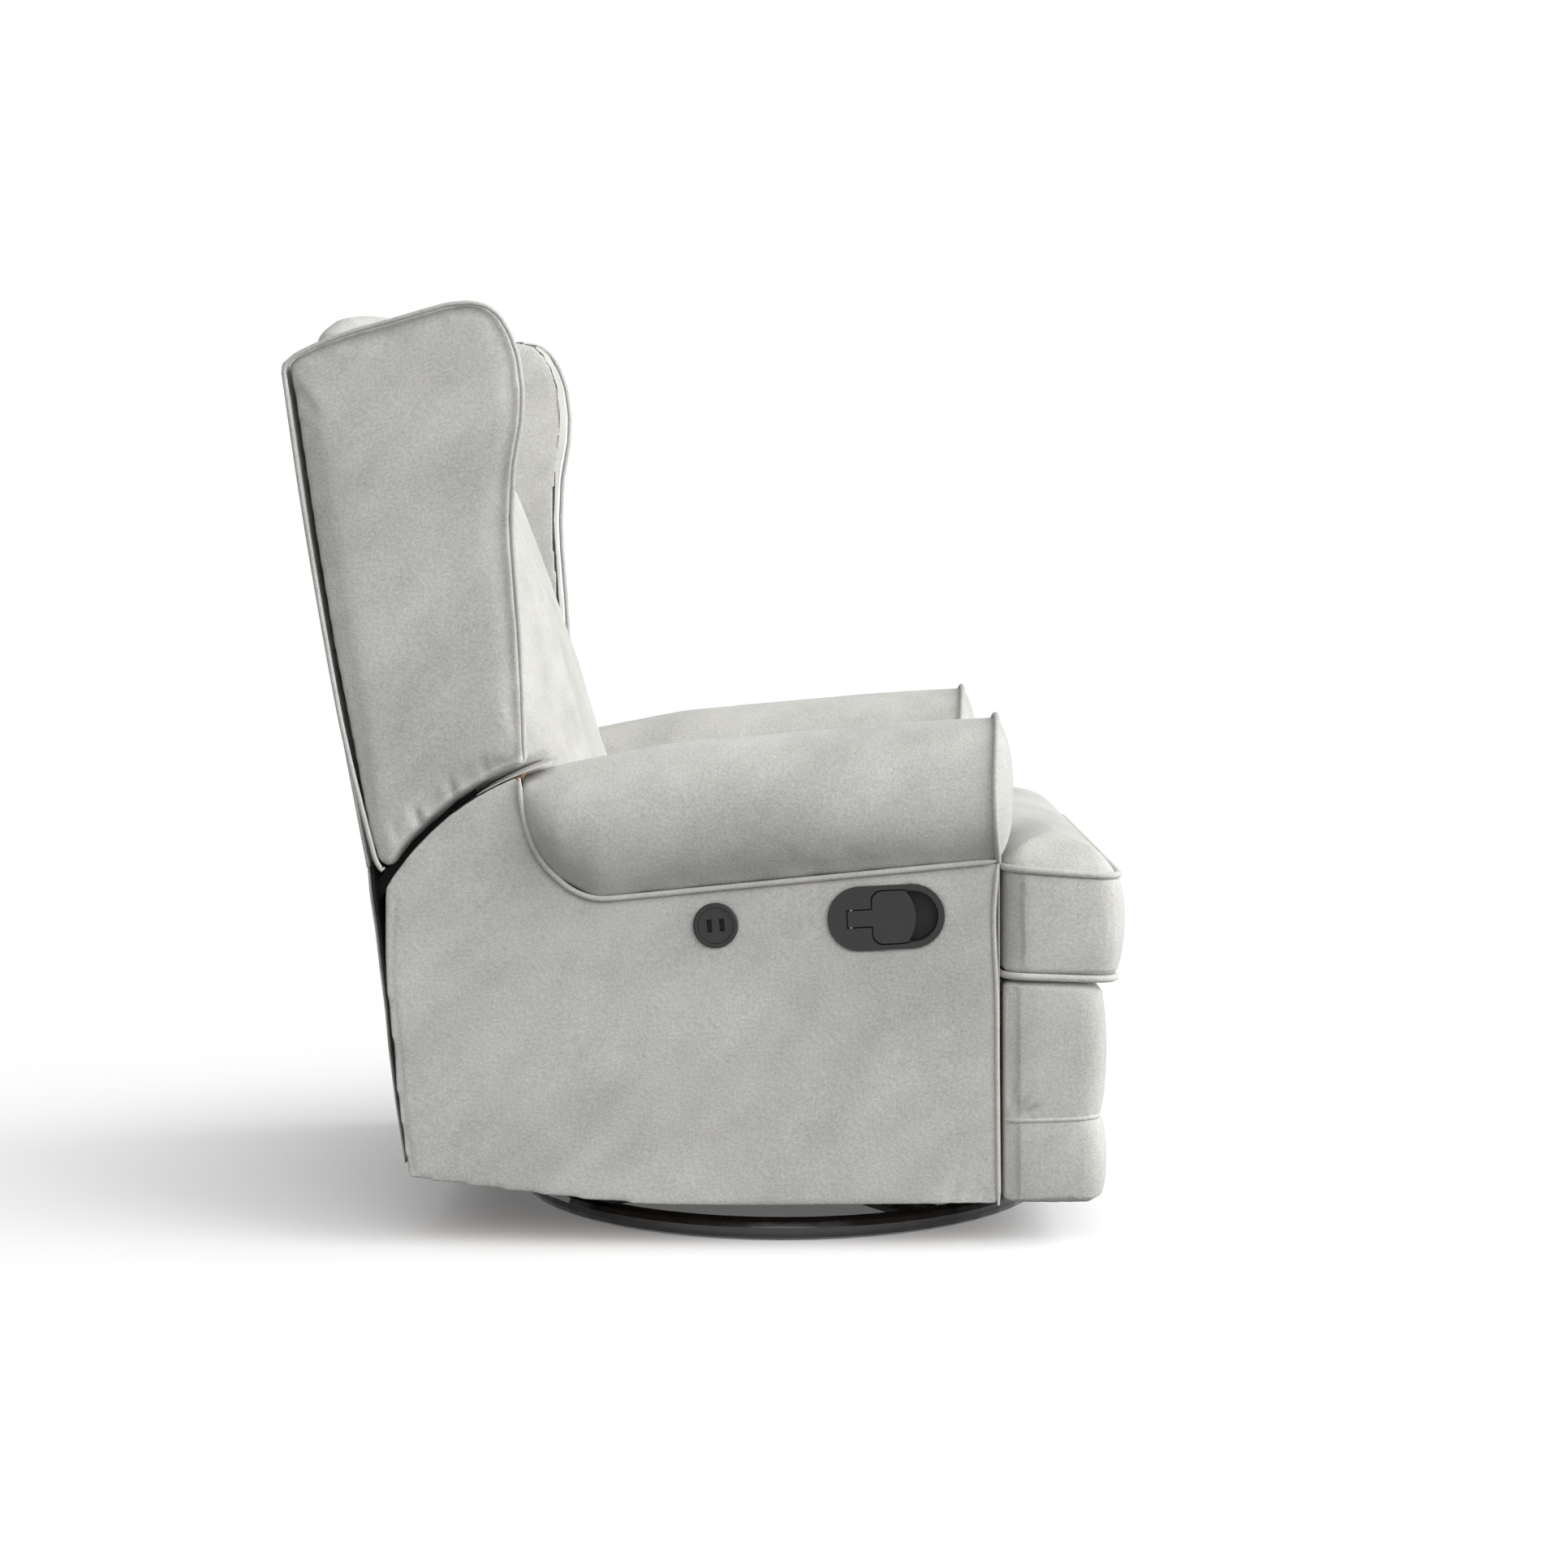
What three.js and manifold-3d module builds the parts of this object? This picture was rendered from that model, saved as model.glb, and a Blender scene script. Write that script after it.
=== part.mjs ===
// Swivel glider recliner with winged back, rolled arms and a two-row footrest.
// Units are millimetres and +Z is up. The chair faces -Y and the sitter's right side is -X.
// Side outlines are given as (f, z): f is the distance in front of the swivel axis, z the height.

import * as THREE from 'three';
import { mergeVertices } from 'three/addons/utils/BufferGeometryUtils.js';
import Module from 'manifold-3d';

const wasm = await Module();
wasm.setup();

// Overall sizes
const chairDepth = 932;
const chairHeight = 1060;
const swivelSetback = 89;

// Places in the side view: f as shares of the chair's depth, z as shares of its height
const bodyFrontDepthShare = 0.25322;
const armSeamRearEndDepthShare = -0.22318;
const reclineDepthShare = -0.19957;
const uprightDepthShare = 0.16094;
const carriageCrossDepthShare = 0.23391;
const turnCentreDepthShare = 0.37768;
const footrestFrontDepthShare = 0.37554;
const seatRearDepthShare = -0.19635;
const cushionFrontDepthShare = 0.40021;
const rearRailDepthShare = -0.20708;
const backFootDepthShare = -0.49356;
const latchDepthShare = 0.12124;
const socketDepthShare = -0.08112;
const cableClampDepthShare = 0.06438;
const armSeamRearHeightShare = 0.36226;
const armSeamFrontHeightShare = 0.40283;
const armFrontBottomHeightShare = 0.05094;
const reclineHeightShare = 0.23019;
const driveHeightShare = 0.25283;
const turnCentreHeightShare = 0.36321;
const boardPivotHeightShare = 0.2217;
const footrestBottomHeightShare = 0.04717;
const footrestSeamHeightShare = 0.13585;
const footrestTopHeightShare = 0.27547;
const cushionBottomHeightShare = 0.28302;
const cushionFrontTopSeamHeightShare = 0.38679;
const bodyRearRailHeightShare = 0.08491;
const backFootHeightShare = 0.40189;
const backRiseHeightShare = 0.52547;
const backFrameFootHeightShare = 0.30189;
const backCushionFootHeightShare = 0.31698;
const latchHeightShare = 0.34623;
const socketHeightShare = 0.33774;
const cableClampHeightShare = 0.21321;

// Clearances
const fitGap = 0.3;
const skinInset = 1;
const coverGap = 1.3;
const runningGap = 0.4;
const cutOverrun = 5;

// Body: side panels, arm boxes and padded arms
const bodyHalfWidth = 350;
const sidePanelThickness = 18;
const armBoxWidth = 118;
const armInnerFace = bodyHalfWidth - armBoxWidth;
const armBoxWall = 13;
const bodyFront = bodyFrontDepthShare * chairDepth;
const armSeamRear = armSeamRearHeightShare * chairHeight;
const armSeamFront = armSeamFrontHeightShare * chairHeight;
const armSeamRearEnd = armSeamRearEndDepthShare * chairDepth;
const reclineF = reclineDepthShare * chairDepth;
const reclineZ = reclineHeightShare * chairHeight;
const armRollOverhang = 6;
const armRollInner = armInnerFace - armRollOverhang;
const armRollWidth = 158;
const armRollHeight = 160.5;
const armRollFrontPuff = 17;
const armFrontThickness = 5.5;
const armFrontInner = armInnerFace + armRollOverhang;
const armFrontBottom = armFrontBottomHeightShare * chairHeight;
const armFrontFace = bodyFront + fitGap + armFrontThickness;

// Base ring, cross and swivel bearing
const ringOuterRadius = 320;
const ringTubeRadius = 12.5;
const ringTubeSides = 12;
const ringSegments = 56;
const crossArmWidth = 52;
const crossArmThickness = 7;
const crossArmFootZ = 7;
const crossHubZ = 21;
const crossHubRadius = 78;
const crossTurnDegrees = 54.5;
const raceOuterRadius = 72;
const raceInnerRadius = 42;
const raceHeight = 7;
const ballCircleRadius = 57;
const ballRadius = 3.6;
const ballCount = 10;
const cageThickness = 2.6;
const kingBoltRadius = 8;
const kingBoltHeadRadius = 14;
const kingBoltHeadHeight = 7;

// Glide: frame with four uprights, hanging links and the rails that they carry
const uprightF = uprightDepthShare * chairDepth;
const mechanismToArm = 60;
const mechanismPlateX = armInnerFace - mechanismToArm;
const uprightToPlate = 36;
const uprightX = mechanismPlateX - uprightToPlate;
const uprightThickness = 6;
const uprightWidth = 32;
const hangerLength = 120;
const hangerWidth = 24;
const linkThickness = 4;
const linkGap = 2;
const pivotPinRadius = 4.6;
const gliderFrameHeight = 21.9;
const gliderPlateThickness = 5;
const carriageCrossF = carriageCrossDepthShare * chairDepth;
const carriageCrossDepth = 20;
const carriageBarHeight = 24;
const carriageRailThickness = 4;

// Footrest linkage, seen from the side with the footrest shut
const driveToRail = 17;
const driveZ = driveHeightShare * chairHeight;
const turnCentreF = turnCentreDepthShare * chairDepth;
const turnCentreZ = turnCentreHeightShare * chairHeight;
const boardPivotSetback = 21.4;
const boardPivotZ = boardPivotHeightShare * chairHeight;
const parallelLinkSpacing = 46;
const controlPivotSpacing = 24;
const controlPivotTurnDegrees = 32;
const linkHalfWidth = 9;
const torqueTubeRadius = 10;
const plateMargin = 4;
const cushionFrontInset = armFrontFace + fitGap;
const footrestBack = cushionFrontInset + coverGap;
const boardPivotF = footrestBack - boardPivotSetback;
const footrestFront = footrestFrontDepthShare * chairDepth;
const footrestPuff = 8;
const footrestInset = 5;
const footrestHalfWidth = bodyHalfWidth - footrestInset;
const footrestBottom = footrestBottomHeightShare * chairHeight;
const footrestSeam = footrestSeamHeightShare * chairHeight;
const footrestTop = footrestTopHeightShare * chairHeight;
const boardThickness = 14;
const boardInset = 32;
const boardHalfWidth = bodyHalfWidth - boardInset;
const boardEdgeInset = 14;
const boardBottom = footrestBottom + boardEdgeInset;
const boardTop = footrestTop - boardEdgeInset;

// Seat
const seatSideGap = 10;
const seatHalfWidth = armInnerFace - seatSideGap;
const seatRear = seatRearDepthShare * chairDepth;
const cushionBottom = cushionBottomHeightShare * chairHeight;
const cushionFront = cushionFrontDepthShare * chairDepth;
const cushionFrontTopSeam = cushionFrontTopSeamHeightShare * chairHeight;
const cushionRise = 12;
const cushionCrown = 40;
const seatRailHeight = 34;
const bodyRearRailDepth = 15;
const bodyRearRailZ = bodyRearRailHeightShare * chairHeight;
const seatRailDepth = 25;
const springWireRadius = 1.7;
const springWaveWidth = 34;
const springWaveCount = 7;
const springCount = 4;
const springSpacing = 84;

// Back
const backRise = backRiseHeightShare * chairHeight;
const backLean = 95;
const backFootF = backFootDepthShare * chairDepth;
const backFootZ = backFootHeightShare * chairHeight;
const shoulderBeyondBack = 25;
const backSwingGap = 8;
const bodyArcRadius = reclineF - backFootF + shoulderBeyondBack;
const wingArcRadius = bodyArcRadius + backSwingGap;
const backPanelThickness = 11;
const wingThickness = 63;
const wingGap = 3;
const backHalfWidth = bodyHalfWidth - wingThickness - wingGap;
const backSideGap = 15;
const backLowerHalfWidth = armInnerFace - backSideGap;
const backFrameDepth = 30;
const backFrameFootZ = backFrameFootHeightShare * chairHeight;
const crestRise = 92;
const backFrameTopZ = chairHeight - crestRise;
const backRailHeight = 46;
const stileWidth = 24;
const stileToPlate = 16;
const stileInner = mechanismPlateX + stileToPlate;
const wingPuff = 5;
const backCushionFootZ = backCushionFootHeightShare * chairHeight;
const bracketThickness = 5;

// Latch handle and charging socket in the right side panel
const latchF = latchDepthShare * chairDepth;
const latchZ = latchHeightShare * chairHeight;
const latchLength = 130;
const latchHeight = 71;
const latchRim = 4;
const latchProud = 3;
const latchRecess = 24;
const latchWall = 3;
const latchTiltDegrees = 3;
const latchReveal = 0.7;
const paddleAxisSetback = 39;
const paddleReach = 34;
const paddleAxisF = latchF - paddleAxisSetback;
const paddleFront = latchF + paddleReach;
const paddleHeight = 58;
const paddleGap = 1.4;
const paddleCornerRadius = 11;
const paddleEdgeShares = [
  [0.62, -1],
  [0.78, -0.98],
  [0.88, -0.7],
  [0.96, -0.35],
  [0.98, 0],
  [0.96, 0.35],
  [0.88, 0.7],
  [0.78, 0.98],
  [0.62, 1],
];
const paddleTabHeight = 18;
const paddleTabLength = 24;
const paddleThickness = 7;
const socketF = socketDepthShare * chairDepth;
const socketZ = socketHeightShare * chairHeight;
const socketBezelRadius = 25;
const socketBezelRim = 5;
const socketProud = 3;
const socketBlockDepth = 42;
const socketSlotWidth = 5.6;
const socketSlotHeight = 14;
const socketSlotDepth = 10;
const socketSlotSpacing = 13.8;
const socketTiltDegrees = 5;
const socketInletRadius = 3;
const cableRadius = 2.5;

// Finishes
const suede = new THREE.MeshStandardMaterial({ color: 0xb4b4af, roughness: 0.95, metalness: 0 });
const blackGloss = new THREE.MeshStandardMaterial({ color: 0x101012, roughness: 0.25, metalness: 0.6 });
const steel = new THREE.MeshStandardMaterial({ color: 0x3b3d40, roughness: 0.45, metalness: 0.8 });
const brightSteel = new THREE.MeshStandardMaterial({ color: 0x9a9c9f, roughness: 0.35, metalness: 0.9 });
const wood = new THREE.MeshStandardMaterial({ color: 0xb08a5c, roughness: 0.8, metalness: 0 });
const charcoal = new THREE.MeshStandardMaterial({ color: 0x353536, roughness: 0.55, metalness: 0 });
const blackSheath = new THREE.MeshStandardMaterial({ color: 0x161616, roughness: 0.6, metalness: 0 });

const chair = new THREE.Group();
chair.name = 'swivel_glider_recliner';
chair.position.y = -swivelSetback;

// Geometry helpers

function solidOf(geometry) {
  const bare = geometry.clone();
  bare.deleteAttribute('normal');
  bare.deleteAttribute('uv');
  const merged = mergeVertices(bare, 1e-4);
  const vertProperties = new Float32Array(merged.attributes.position.array);
  const triVerts = new Uint32Array(merged.index.array);
  return new wasm.Manifold(new wasm.Mesh({ numProp: 3, vertProperties, triVerts }));
}

function geometryOf(solid) {
  const mesh = solid.getMesh();
  const geometry = new THREE.BufferGeometry();
  geometry.setAttribute('position', new THREE.BufferAttribute(new Float32Array(mesh.vertProperties), 3));
  geometry.setIndex(new THREE.BufferAttribute(new Uint32Array(mesh.triVerts), 1));
  return geometry;
}

function join(...geometries) {
  return geometryOf(geometries.map(solidOf).reduce((sum, next) => sum.add(next)));
}

function cut(geometry, ...tools) {
  return geometryOf(tools.map(solidOf).reduce((rest, tool) => rest.subtract(tool), solidOf(geometry)));
}

function piece(name, geometry, material) {
  const bare = geometry.clone();
  bare.deleteAttribute('normal');
  bare.deleteAttribute('uv');
  const merged = mergeVertices(bare, 1e-4);
  merged.computeVertexNormals();
  const mesh = new THREE.Mesh(merged, material);
  mesh.name = name;
  chair.add(mesh);
  return mesh;
}

function at(x, f, z) {
  return new THREE.Vector3(x, -f, z);
}

// A side of the chair as an x range that runs from near the middle outwards
function sideRange(side, inner, outer) {
  return side > 0 ? [inner, outer] : [-outer, -inner];
}

function box([xLow, xHigh], [fLow, fHigh], [zLow, zHigh]) {
  const geometry = new THREE.BoxGeometry(xHigh - xLow, fHigh - fLow, zHigh - zLow);
  geometry.translate((xLow + xHigh) / 2, -(fLow + fHigh) / 2, (zLow + zHigh) / 2);
  return geometry;
}

// Plate cut from a side outline, between two values of x
function plate(shape, [xLow, xHigh], segments = 7) {
  const geometry = new THREE.ExtrudeGeometry(shape, {
    depth: xHigh - xLow,
    bevelEnabled: false,
    curveSegments: segments,
  });
  const turn = new THREE.Matrix4().makeBasis(
    new THREE.Vector3(0, -1, 0),
    new THREE.Vector3(0, 0, 1),
    new THREE.Vector3(-1, 0, 0),
  );
  geometry.applyMatrix4(turn);
  geometry.translate(xHigh, 0, 0);
  return geometry;
}

function outline(points) {
  const corners = points.map(([f, z]) => new THREE.Vector2(f, z));
  return new THREE.Shape(THREE.ShapeUtils.isClockWise(corners) ? corners.reverse() : corners);
}

function addHole(shape, f, z, radius) {
  const hole = new THREE.Path();
  hole.absarc(f, z, radius, 0, 2 * Math.PI, true);
  shape.holes.push(hole);
}

function circle(radius) {
  const shape = new THREE.Shape();
  shape.absarc(0, 0, radius, 0, 2 * Math.PI, false);
  return shape;
}

function discAcross([xLow, xHigh], f, z, radius, segments = 6) {
  const shape = new THREE.Shape();
  shape.absarc(f, z, radius, 0, 2 * Math.PI, false);
  return plate(shape, [xLow, xHigh], segments);
}

function revolve(profile, segments) {
  const geometry = new THREE.LatheGeometry(profile.map(([r, z]) => new THREE.Vector2(r, z)), segments);
  geometry.rotateX(Math.PI / 2);
  return geometry;
}

// Closed skin over rings of equal point count, with a fan at each end
function loft(rings, ownMiddles) {
  const count = rings[0].length;
  const positions = [];
  rings.forEach((ring) => ring.forEach((point) => positions.push(point.x, point.y, point.z)));
  const middles = ownMiddles ?? [rings[0], rings[rings.length - 1]].map((ring) => {
    const middle = ring.reduce((sum, point) => sum.add(point), new THREE.Vector3());
    return middle.divideScalar(count);
  });
  middles.forEach((middle) => positions.push(middle.x, middle.y, middle.z));
  const firstMiddle = rings.length * count;
  const triangles = [];
  for (let i = 0; i < count; i += 1) {
    const next = (i + 1) % count;
    triangles.push(firstMiddle, next, i);
    const last = (rings.length - 1) * count;
    triangles.push(firstMiddle + 1, last + i, last + next);
    for (let r = 0; r + 1 < rings.length; r += 1) {
      const low = r * count;
      const high = low + count;
      triangles.push(low + i, low + next, high + next);
      triangles.push(low + i, high + next, high + i);
    }
  }
  const geometry = new THREE.BufferGeometry();
  geometry.setAttribute('position', new THREE.Float32BufferAttribute(positions, 3));
  geometry.setIndex(triangles);
  if (signedVolume(geometry) < 0) {
    for (let t = 0; t < triangles.length; t += 3) {
      [triangles[t + 1], triangles[t + 2]] = [triangles[t + 2], triangles[t + 1]];
    }
    geometry.setIndex(triangles);
  }
  return geometry;
}

function signedVolume(geometry) {
  const { array } = geometry.attributes.position;
  const corner = (n) => new THREE.Vector3(array[3 * n], array[3 * n + 1], array[3 * n + 2]);
  const index = geometry.index.array;
  let sum = 0;
  for (let t = 0; t < index.length; t += 3) {
    const normal = new THREE.Vector3().crossVectors(corner(index[t + 1]), corner(index[t + 2]));
    sum += corner(index[t]).dot(normal) / 6;
  }
  return sum;
}

// Value of a hand-chosen curve through (position, value) pairs
function along(pairs, position) {
  if (position <= pairs[0][0]) return pairs[0][1];
  for (let i = 1; i < pairs.length; i += 1) {
    const [from, low] = pairs[i - 1];
    const [to, high] = pairs[i];
    if (position <= to) return low + ((high - low) * (position - from)) / (to - from);
  }
  return pairs[pairs.length - 1][1];
}

function blendValue(low, high, share) {
  return low + (high - low) * share;
}

function arcPoints(f, z, radius, fromDegrees, toDegrees, steps) {
  const points = [];
  for (let i = 0; i <= steps; i += 1) {
    const angle = THREE.MathUtils.degToRad(blendValue(fromDegrees, toDegrees, i / steps));
    points.push([f + radius * Math.cos(angle), z + radius * Math.sin(angle)]);
  }
  return points;
}

// Flat link with round ends and a hole at each pivot
function linkPlate([fA, zA], [fB, zB], halfWidth, holeRadius, xRange) {
  const direction = Math.atan2(zB - zA, fB - fA);
  const shape = new THREE.Shape();
  shape.absarc(fA, zA, halfWidth, direction + Math.PI / 2, direction + (3 * Math.PI) / 2, false);
  shape.absarc(fB, zB, halfWidth, direction - Math.PI / 2, direction + Math.PI / 2, false);
  shape.closePath();
  addHole(shape, fA, zA, holeRadius);
  addHole(shape, fB, zB, holeRadius);
  return plate(shape, xRange, 6);
}

// Base: steel ring, welded cross, thrust bearing and king bolt

function ringTube(tubeRadius) {
  const middleRadius = ringOuterRadius - ringTubeRadius;
  const halfStep = Math.PI / ringTubeSides;
  const middleZ = ringTubeRadius * Math.cos(halfStep);
  const section = [];
  for (let i = 0; i <= ringTubeSides; i += 1) {
    const angle = halfStep + ((i % ringTubeSides) * 2 * Math.PI) / ringTubeSides;
    section.push([middleRadius + tubeRadius * Math.cos(angle), middleZ + tubeRadius * Math.sin(angle)]);
  }
  return revolve(section, ringSegments);
}

function baseRing() {
  piece('base_ring', ringTube(ringTubeRadius), blackGloss);
}

function baseCross() {
  const reach = ringOuterRadius - 1.5 * ringTubeRadius;
  const rise = crossHubZ - crossArmFootZ;
  const shoulder = crossHubRadius + rise * 3;
  const lower = [[reach, crossArmFootZ], [shoulder + rise * 3, crossArmFootZ], [shoulder, crossHubZ]];
  const underside = [...lower, ...lower.map(([r, z]) => [-r, z]).reverse()];
  const top = underside.map(([r, z]) => [r, z + crossArmThickness]).reverse();
  const arm = plate(outline([...underside, ...top]), [-crossArmWidth / 2, crossArmWidth / 2]);
  const arms = [0, 90].map((extra) => {
    const turned = arm.clone();
    turned.rotateZ(THREE.MathUtils.degToRad(-crossTurnDegrees - extra));
    return turned;
  });
  const hub = revolve([
    [0, crossHubZ],
    [crossHubRadius, crossHubZ],
    [crossHubRadius, crossHubZ + crossArmThickness],
    [0, crossHubZ + crossArmThickness],
  ], 28);
  const bore = revolve([
    [0, crossHubZ - cutOverrun],
    [kingBoltRadius + fitGap, crossHubZ - cutOverrun],
    [kingBoltRadius + fitGap, crossHubZ + crossArmThickness + cutOverrun],
    [0, crossHubZ + crossArmThickness + cutOverrun],
  ], 16);
  const clearOfRing = ringTube(ringTubeRadius + fitGap);
  piece('base_cross', cut(join(arms[0], arms[1], hub), bore, clearOfRing), blackGloss);
}

const lowerRaceZ = crossHubZ + crossArmThickness + fitGap;
const ballZ = lowerRaceZ + raceHeight + cageThickness / 2 + fitGap;
const upperRaceZ = ballZ + cageThickness / 2 + fitGap;
const gliderPlateZ = upperRaceZ + raceHeight + fitGap;
const hangerBottomZ = gliderPlateZ + gliderFrameHeight + fitGap + carriageBarHeight / 2;
const hangerTopZ = hangerBottomZ + hangerLength;

// A race is a flat ring whose face towards the balls has a round groove
function race(name, faceZ, backZ) {
  const grooveRadius = ballRadius + runningGap;
  const away = Math.sign(backZ - faceZ);
  const depth = Math.abs(ballZ - faceZ);
  const reach = Math.acos(depth / grooveRadius);
  const groove = [];
  for (let i = 0; i <= 6; i += 1) {
    const angle = blendValue(-reach, reach, i / 6);
    groove.push([
      ballCircleRadius + grooveRadius * Math.sin(angle),
      ballZ + away * grooveRadius * Math.cos(angle),
    ]);
  }
  const profile = [
    [raceInnerRadius, backZ],
    [raceInnerRadius, faceZ],
    ...groove,
    [raceOuterRadius, faceZ],
    [raceOuterRadius, backZ],
    [raceInnerRadius, backZ],
  ];
  const ordered = away < 0 ? profile.reverse() : profile;
  const geometry = revolve(ordered, 28);
  const inverted = signedVolume(mergeVertices(geometry)) < 0;
  piece(name, inverted ? revolve([...ordered].reverse(), 28) : geometry, steel);
}

function ballCage() {
  const halfWidth = ballRadius + linkGap;
  const ring = revolve([
    [ballCircleRadius - halfWidth, ballZ - cageThickness / 2],
    [ballCircleRadius + halfWidth, ballZ - cageThickness / 2],
    [ballCircleRadius + halfWidth, ballZ + cageThickness / 2],
    [ballCircleRadius - halfWidth, ballZ + cageThickness / 2],
    [ballCircleRadius - halfWidth, ballZ - cageThickness / 2],
  ], 2 * ballCount);
  const balls = [];
  for (let i = 0; i < ballCount; i += 1) {
    const angle = (i * 2 * Math.PI) / ballCount;
    const ball = new THREE.SphereGeometry(ballRadius, 6, 5);
    ball.translate(ballCircleRadius * Math.cos(angle), ballCircleRadius * Math.sin(angle), ballZ);
    balls.push(ball);
  }
  piece('ball_cage', join(ring, ...balls), brightSteel);
}

function kingBolt() {
  const headBottom = crossHubZ - fitGap - kingBoltHeadHeight;
  const nutBottom = gliderPlateZ + gliderPlateThickness + fitGap;
  piece('king_bolt', revolve([
    [0, headBottom],
    [kingBoltHeadRadius, headBottom],
    [kingBoltHeadRadius, crossHubZ - fitGap],
    [kingBoltRadius, crossHubZ - fitGap],
    [kingBoltRadius, nutBottom],
    [kingBoltHeadRadius, nutBottom],
    [kingBoltHeadRadius, nutBottom + kingBoltHeadHeight],
    [0, nutBottom + kingBoltHeadHeight],
  ], 16), brightSteel);
}

// Glide frame: round plate, two cross channels, two side channels and four uprights in one weldment

function gliderFrame() {
  const channelTop = gliderPlateZ + gliderFrameHeight;
  const upright = (side, end) => {
    const f = end * uprightF;
    const shape = new THREE.Shape();
    shape.moveTo(f - uprightWidth / 2, gliderPlateZ);
    shape.lineTo(f + uprightWidth / 2, gliderPlateZ);
    shape.absarc(f, hangerTopZ, uprightWidth / 2, 0, Math.PI, false);
    shape.closePath();
    addHole(shape, f, hangerTopZ, pivotPinRadius + runningGap);
    return plate(shape, sideRange(side, uprightX, uprightX + uprightThickness), 8);
  };
  const parts = [revolve([
    [0, gliderPlateZ],
    [raceOuterRadius, gliderPlateZ],
    [raceOuterRadius, gliderPlateZ + gliderPlateThickness],
    [0, gliderPlateZ + gliderPlateThickness],
  ], 28)];
  [-1, 1].forEach((side) => {
    const reach = uprightF + uprightWidth / 2;
    const channelX = sideRange(side, uprightX - gliderFrameHeight, uprightX + uprightThickness / 2);
    parts.push(box(channelX, [-reach, reach], [gliderPlateZ, gliderPlateZ + gliderPlateThickness]));
    parts.push(box(
      sideRange(side, uprightX, uprightX + uprightThickness),
      [-reach, reach],
      [gliderPlateZ, channelTop],
    ));
    parts.push(upright(side, -1), upright(side, 1));
  });
  [-1, 1].forEach((end) => {
    const middle = end * (raceOuterRadius - gliderFrameHeight / 2);
    parts.push(box(
      [-uprightX, uprightX],
      [middle - gliderFrameHeight / 2, middle + gliderFrameHeight / 2],
      [gliderPlateZ, channelTop - gliderPlateThickness],
    ));
  });
  const bore = revolve([
    [0, gliderPlateZ - cutOverrun],
    [kingBoltRadius + runningGap, gliderPlateZ - cutOverrun],
    [kingBoltRadius + runningGap, channelTop],
    [0, channelTop],
  ], 16);
  piece('glider_frame', cut(join(...parts), bore), steel);
}

const hangerX = uprightX + uprightThickness + linkGap;
const carriageRailX = hangerX + linkThickness + linkGap;

function hangers() {
  [['front', 1], ['rear', -1]].forEach(([where, end]) => {
    const f = end * uprightF;
    [['left', 1], ['right', -1]].forEach(([sideName, side]) => {
      const link = linkPlate(
        [f, hangerTopZ],
        [f, hangerBottomZ],
        hangerWidth / 2,
        pivotPinRadius + runningGap,
        sideRange(side, hangerX, hangerX + linkThickness),
      );
      piece(`hanger_${where}_${sideName}`, link, steel);
    });
    const reach = hangerX + linkThickness + linkGap / 2;
    piece(`hanger_rod_${where}`, discAcross([-reach, reach], f, hangerTopZ, pivotPinRadius), brightSteel);
  });
}

// Carriage frame: two rails with rivets for the links, and two cross bars between the mechanism plates

function carriageFrame() {
  const parts = [];
  const barLow = hangerBottomZ - carriageBarHeight / 2;
  const barHigh = hangerBottomZ + carriageBarHeight / 2;
  [-1, 1].forEach((side) => {
    const reach = carriageCrossF + carriageCrossDepth / 2;
    const railX = sideRange(side, carriageRailX, carriageRailX + carriageRailThickness);
    parts.push(box(railX, [-reach, reach], [barLow, barHigh]));
    [-1, 1].forEach((end) => {
      const rivetX = sideRange(side, hangerX - linkGap / 2, carriageRailX + carriageRailThickness / 2);
      parts.push(discAcross(rivetX, end * uprightF, hangerBottomZ, pivotPinRadius));
    });
  });
  [-1, 1].forEach((end) => {
    const middle = end * carriageCrossF;
    const reach = mechanismPlateX - fitGap;
    parts.push(box(
      [-reach, reach],
      [middle - carriageCrossDepth / 2, middle + carriageCrossDepth / 2],
      [barLow, barHigh],
    ));
  });
  piece('carriage_frame', join(...parts), steel);
}

// Footrest and recline mechanism

const plateOuterX = mechanismPlateX + linkThickness;
const controlX = plateOuterX + linkGap;
const driveX = controlX + linkThickness + linkGap;
const carrierX = driveX + linkThickness + linkGap;
const linkHole = pivotPinRadius + runningGap;
const pinEnd = linkGap / 2;

const frontRailF = bodyFront - seatRailDepth - plateMargin;
const driveF = frontRailF - driveToRail;
const armDirection = new THREE.Vector2(boardPivotF - turnCentreF, boardPivotZ - turnCentreZ);
const armLength = armDirection.length();
const rearwards = new THREE.Vector2(-parallelLinkSpacing, 0);
const beyond = armDirection.clone().multiplyScalar(controlPivotSpacing / armLength);
beyond.rotateAround(new THREE.Vector2(), THREE.MathUtils.degToRad(controlPivotTurnDegrees));
const drivePivot = new THREE.Vector2(driveF, driveZ);
const rearPivot = drivePivot.clone().add(rearwards);
const kneePivot = drivePivot.clone().add(armDirection);
const rearKneePivot = kneePivot.clone().add(rearwards);
const controlKneePivot = kneePivot.clone().add(beyond);
const boardPivot = new THREE.Vector2(boardPivotF, boardPivotZ);
const boardControlPivot = boardPivot.clone().add(beyond);

const cableClampF = cableClampDepthShare * chairDepth;
const cableClampZ = cableClampHeightShare * chairHeight;
const seatRailZ = cushionBottom - seatRailHeight - 4 * springWireRadius - linkGap;
const rearRailF = rearRailDepthShare * chairDepth;
const rearRailHeight = 28;
const rearRailTop = seatRailZ + seatRailHeight;
const rearRailZ = rearRailTop - rearRailHeight;

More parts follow.
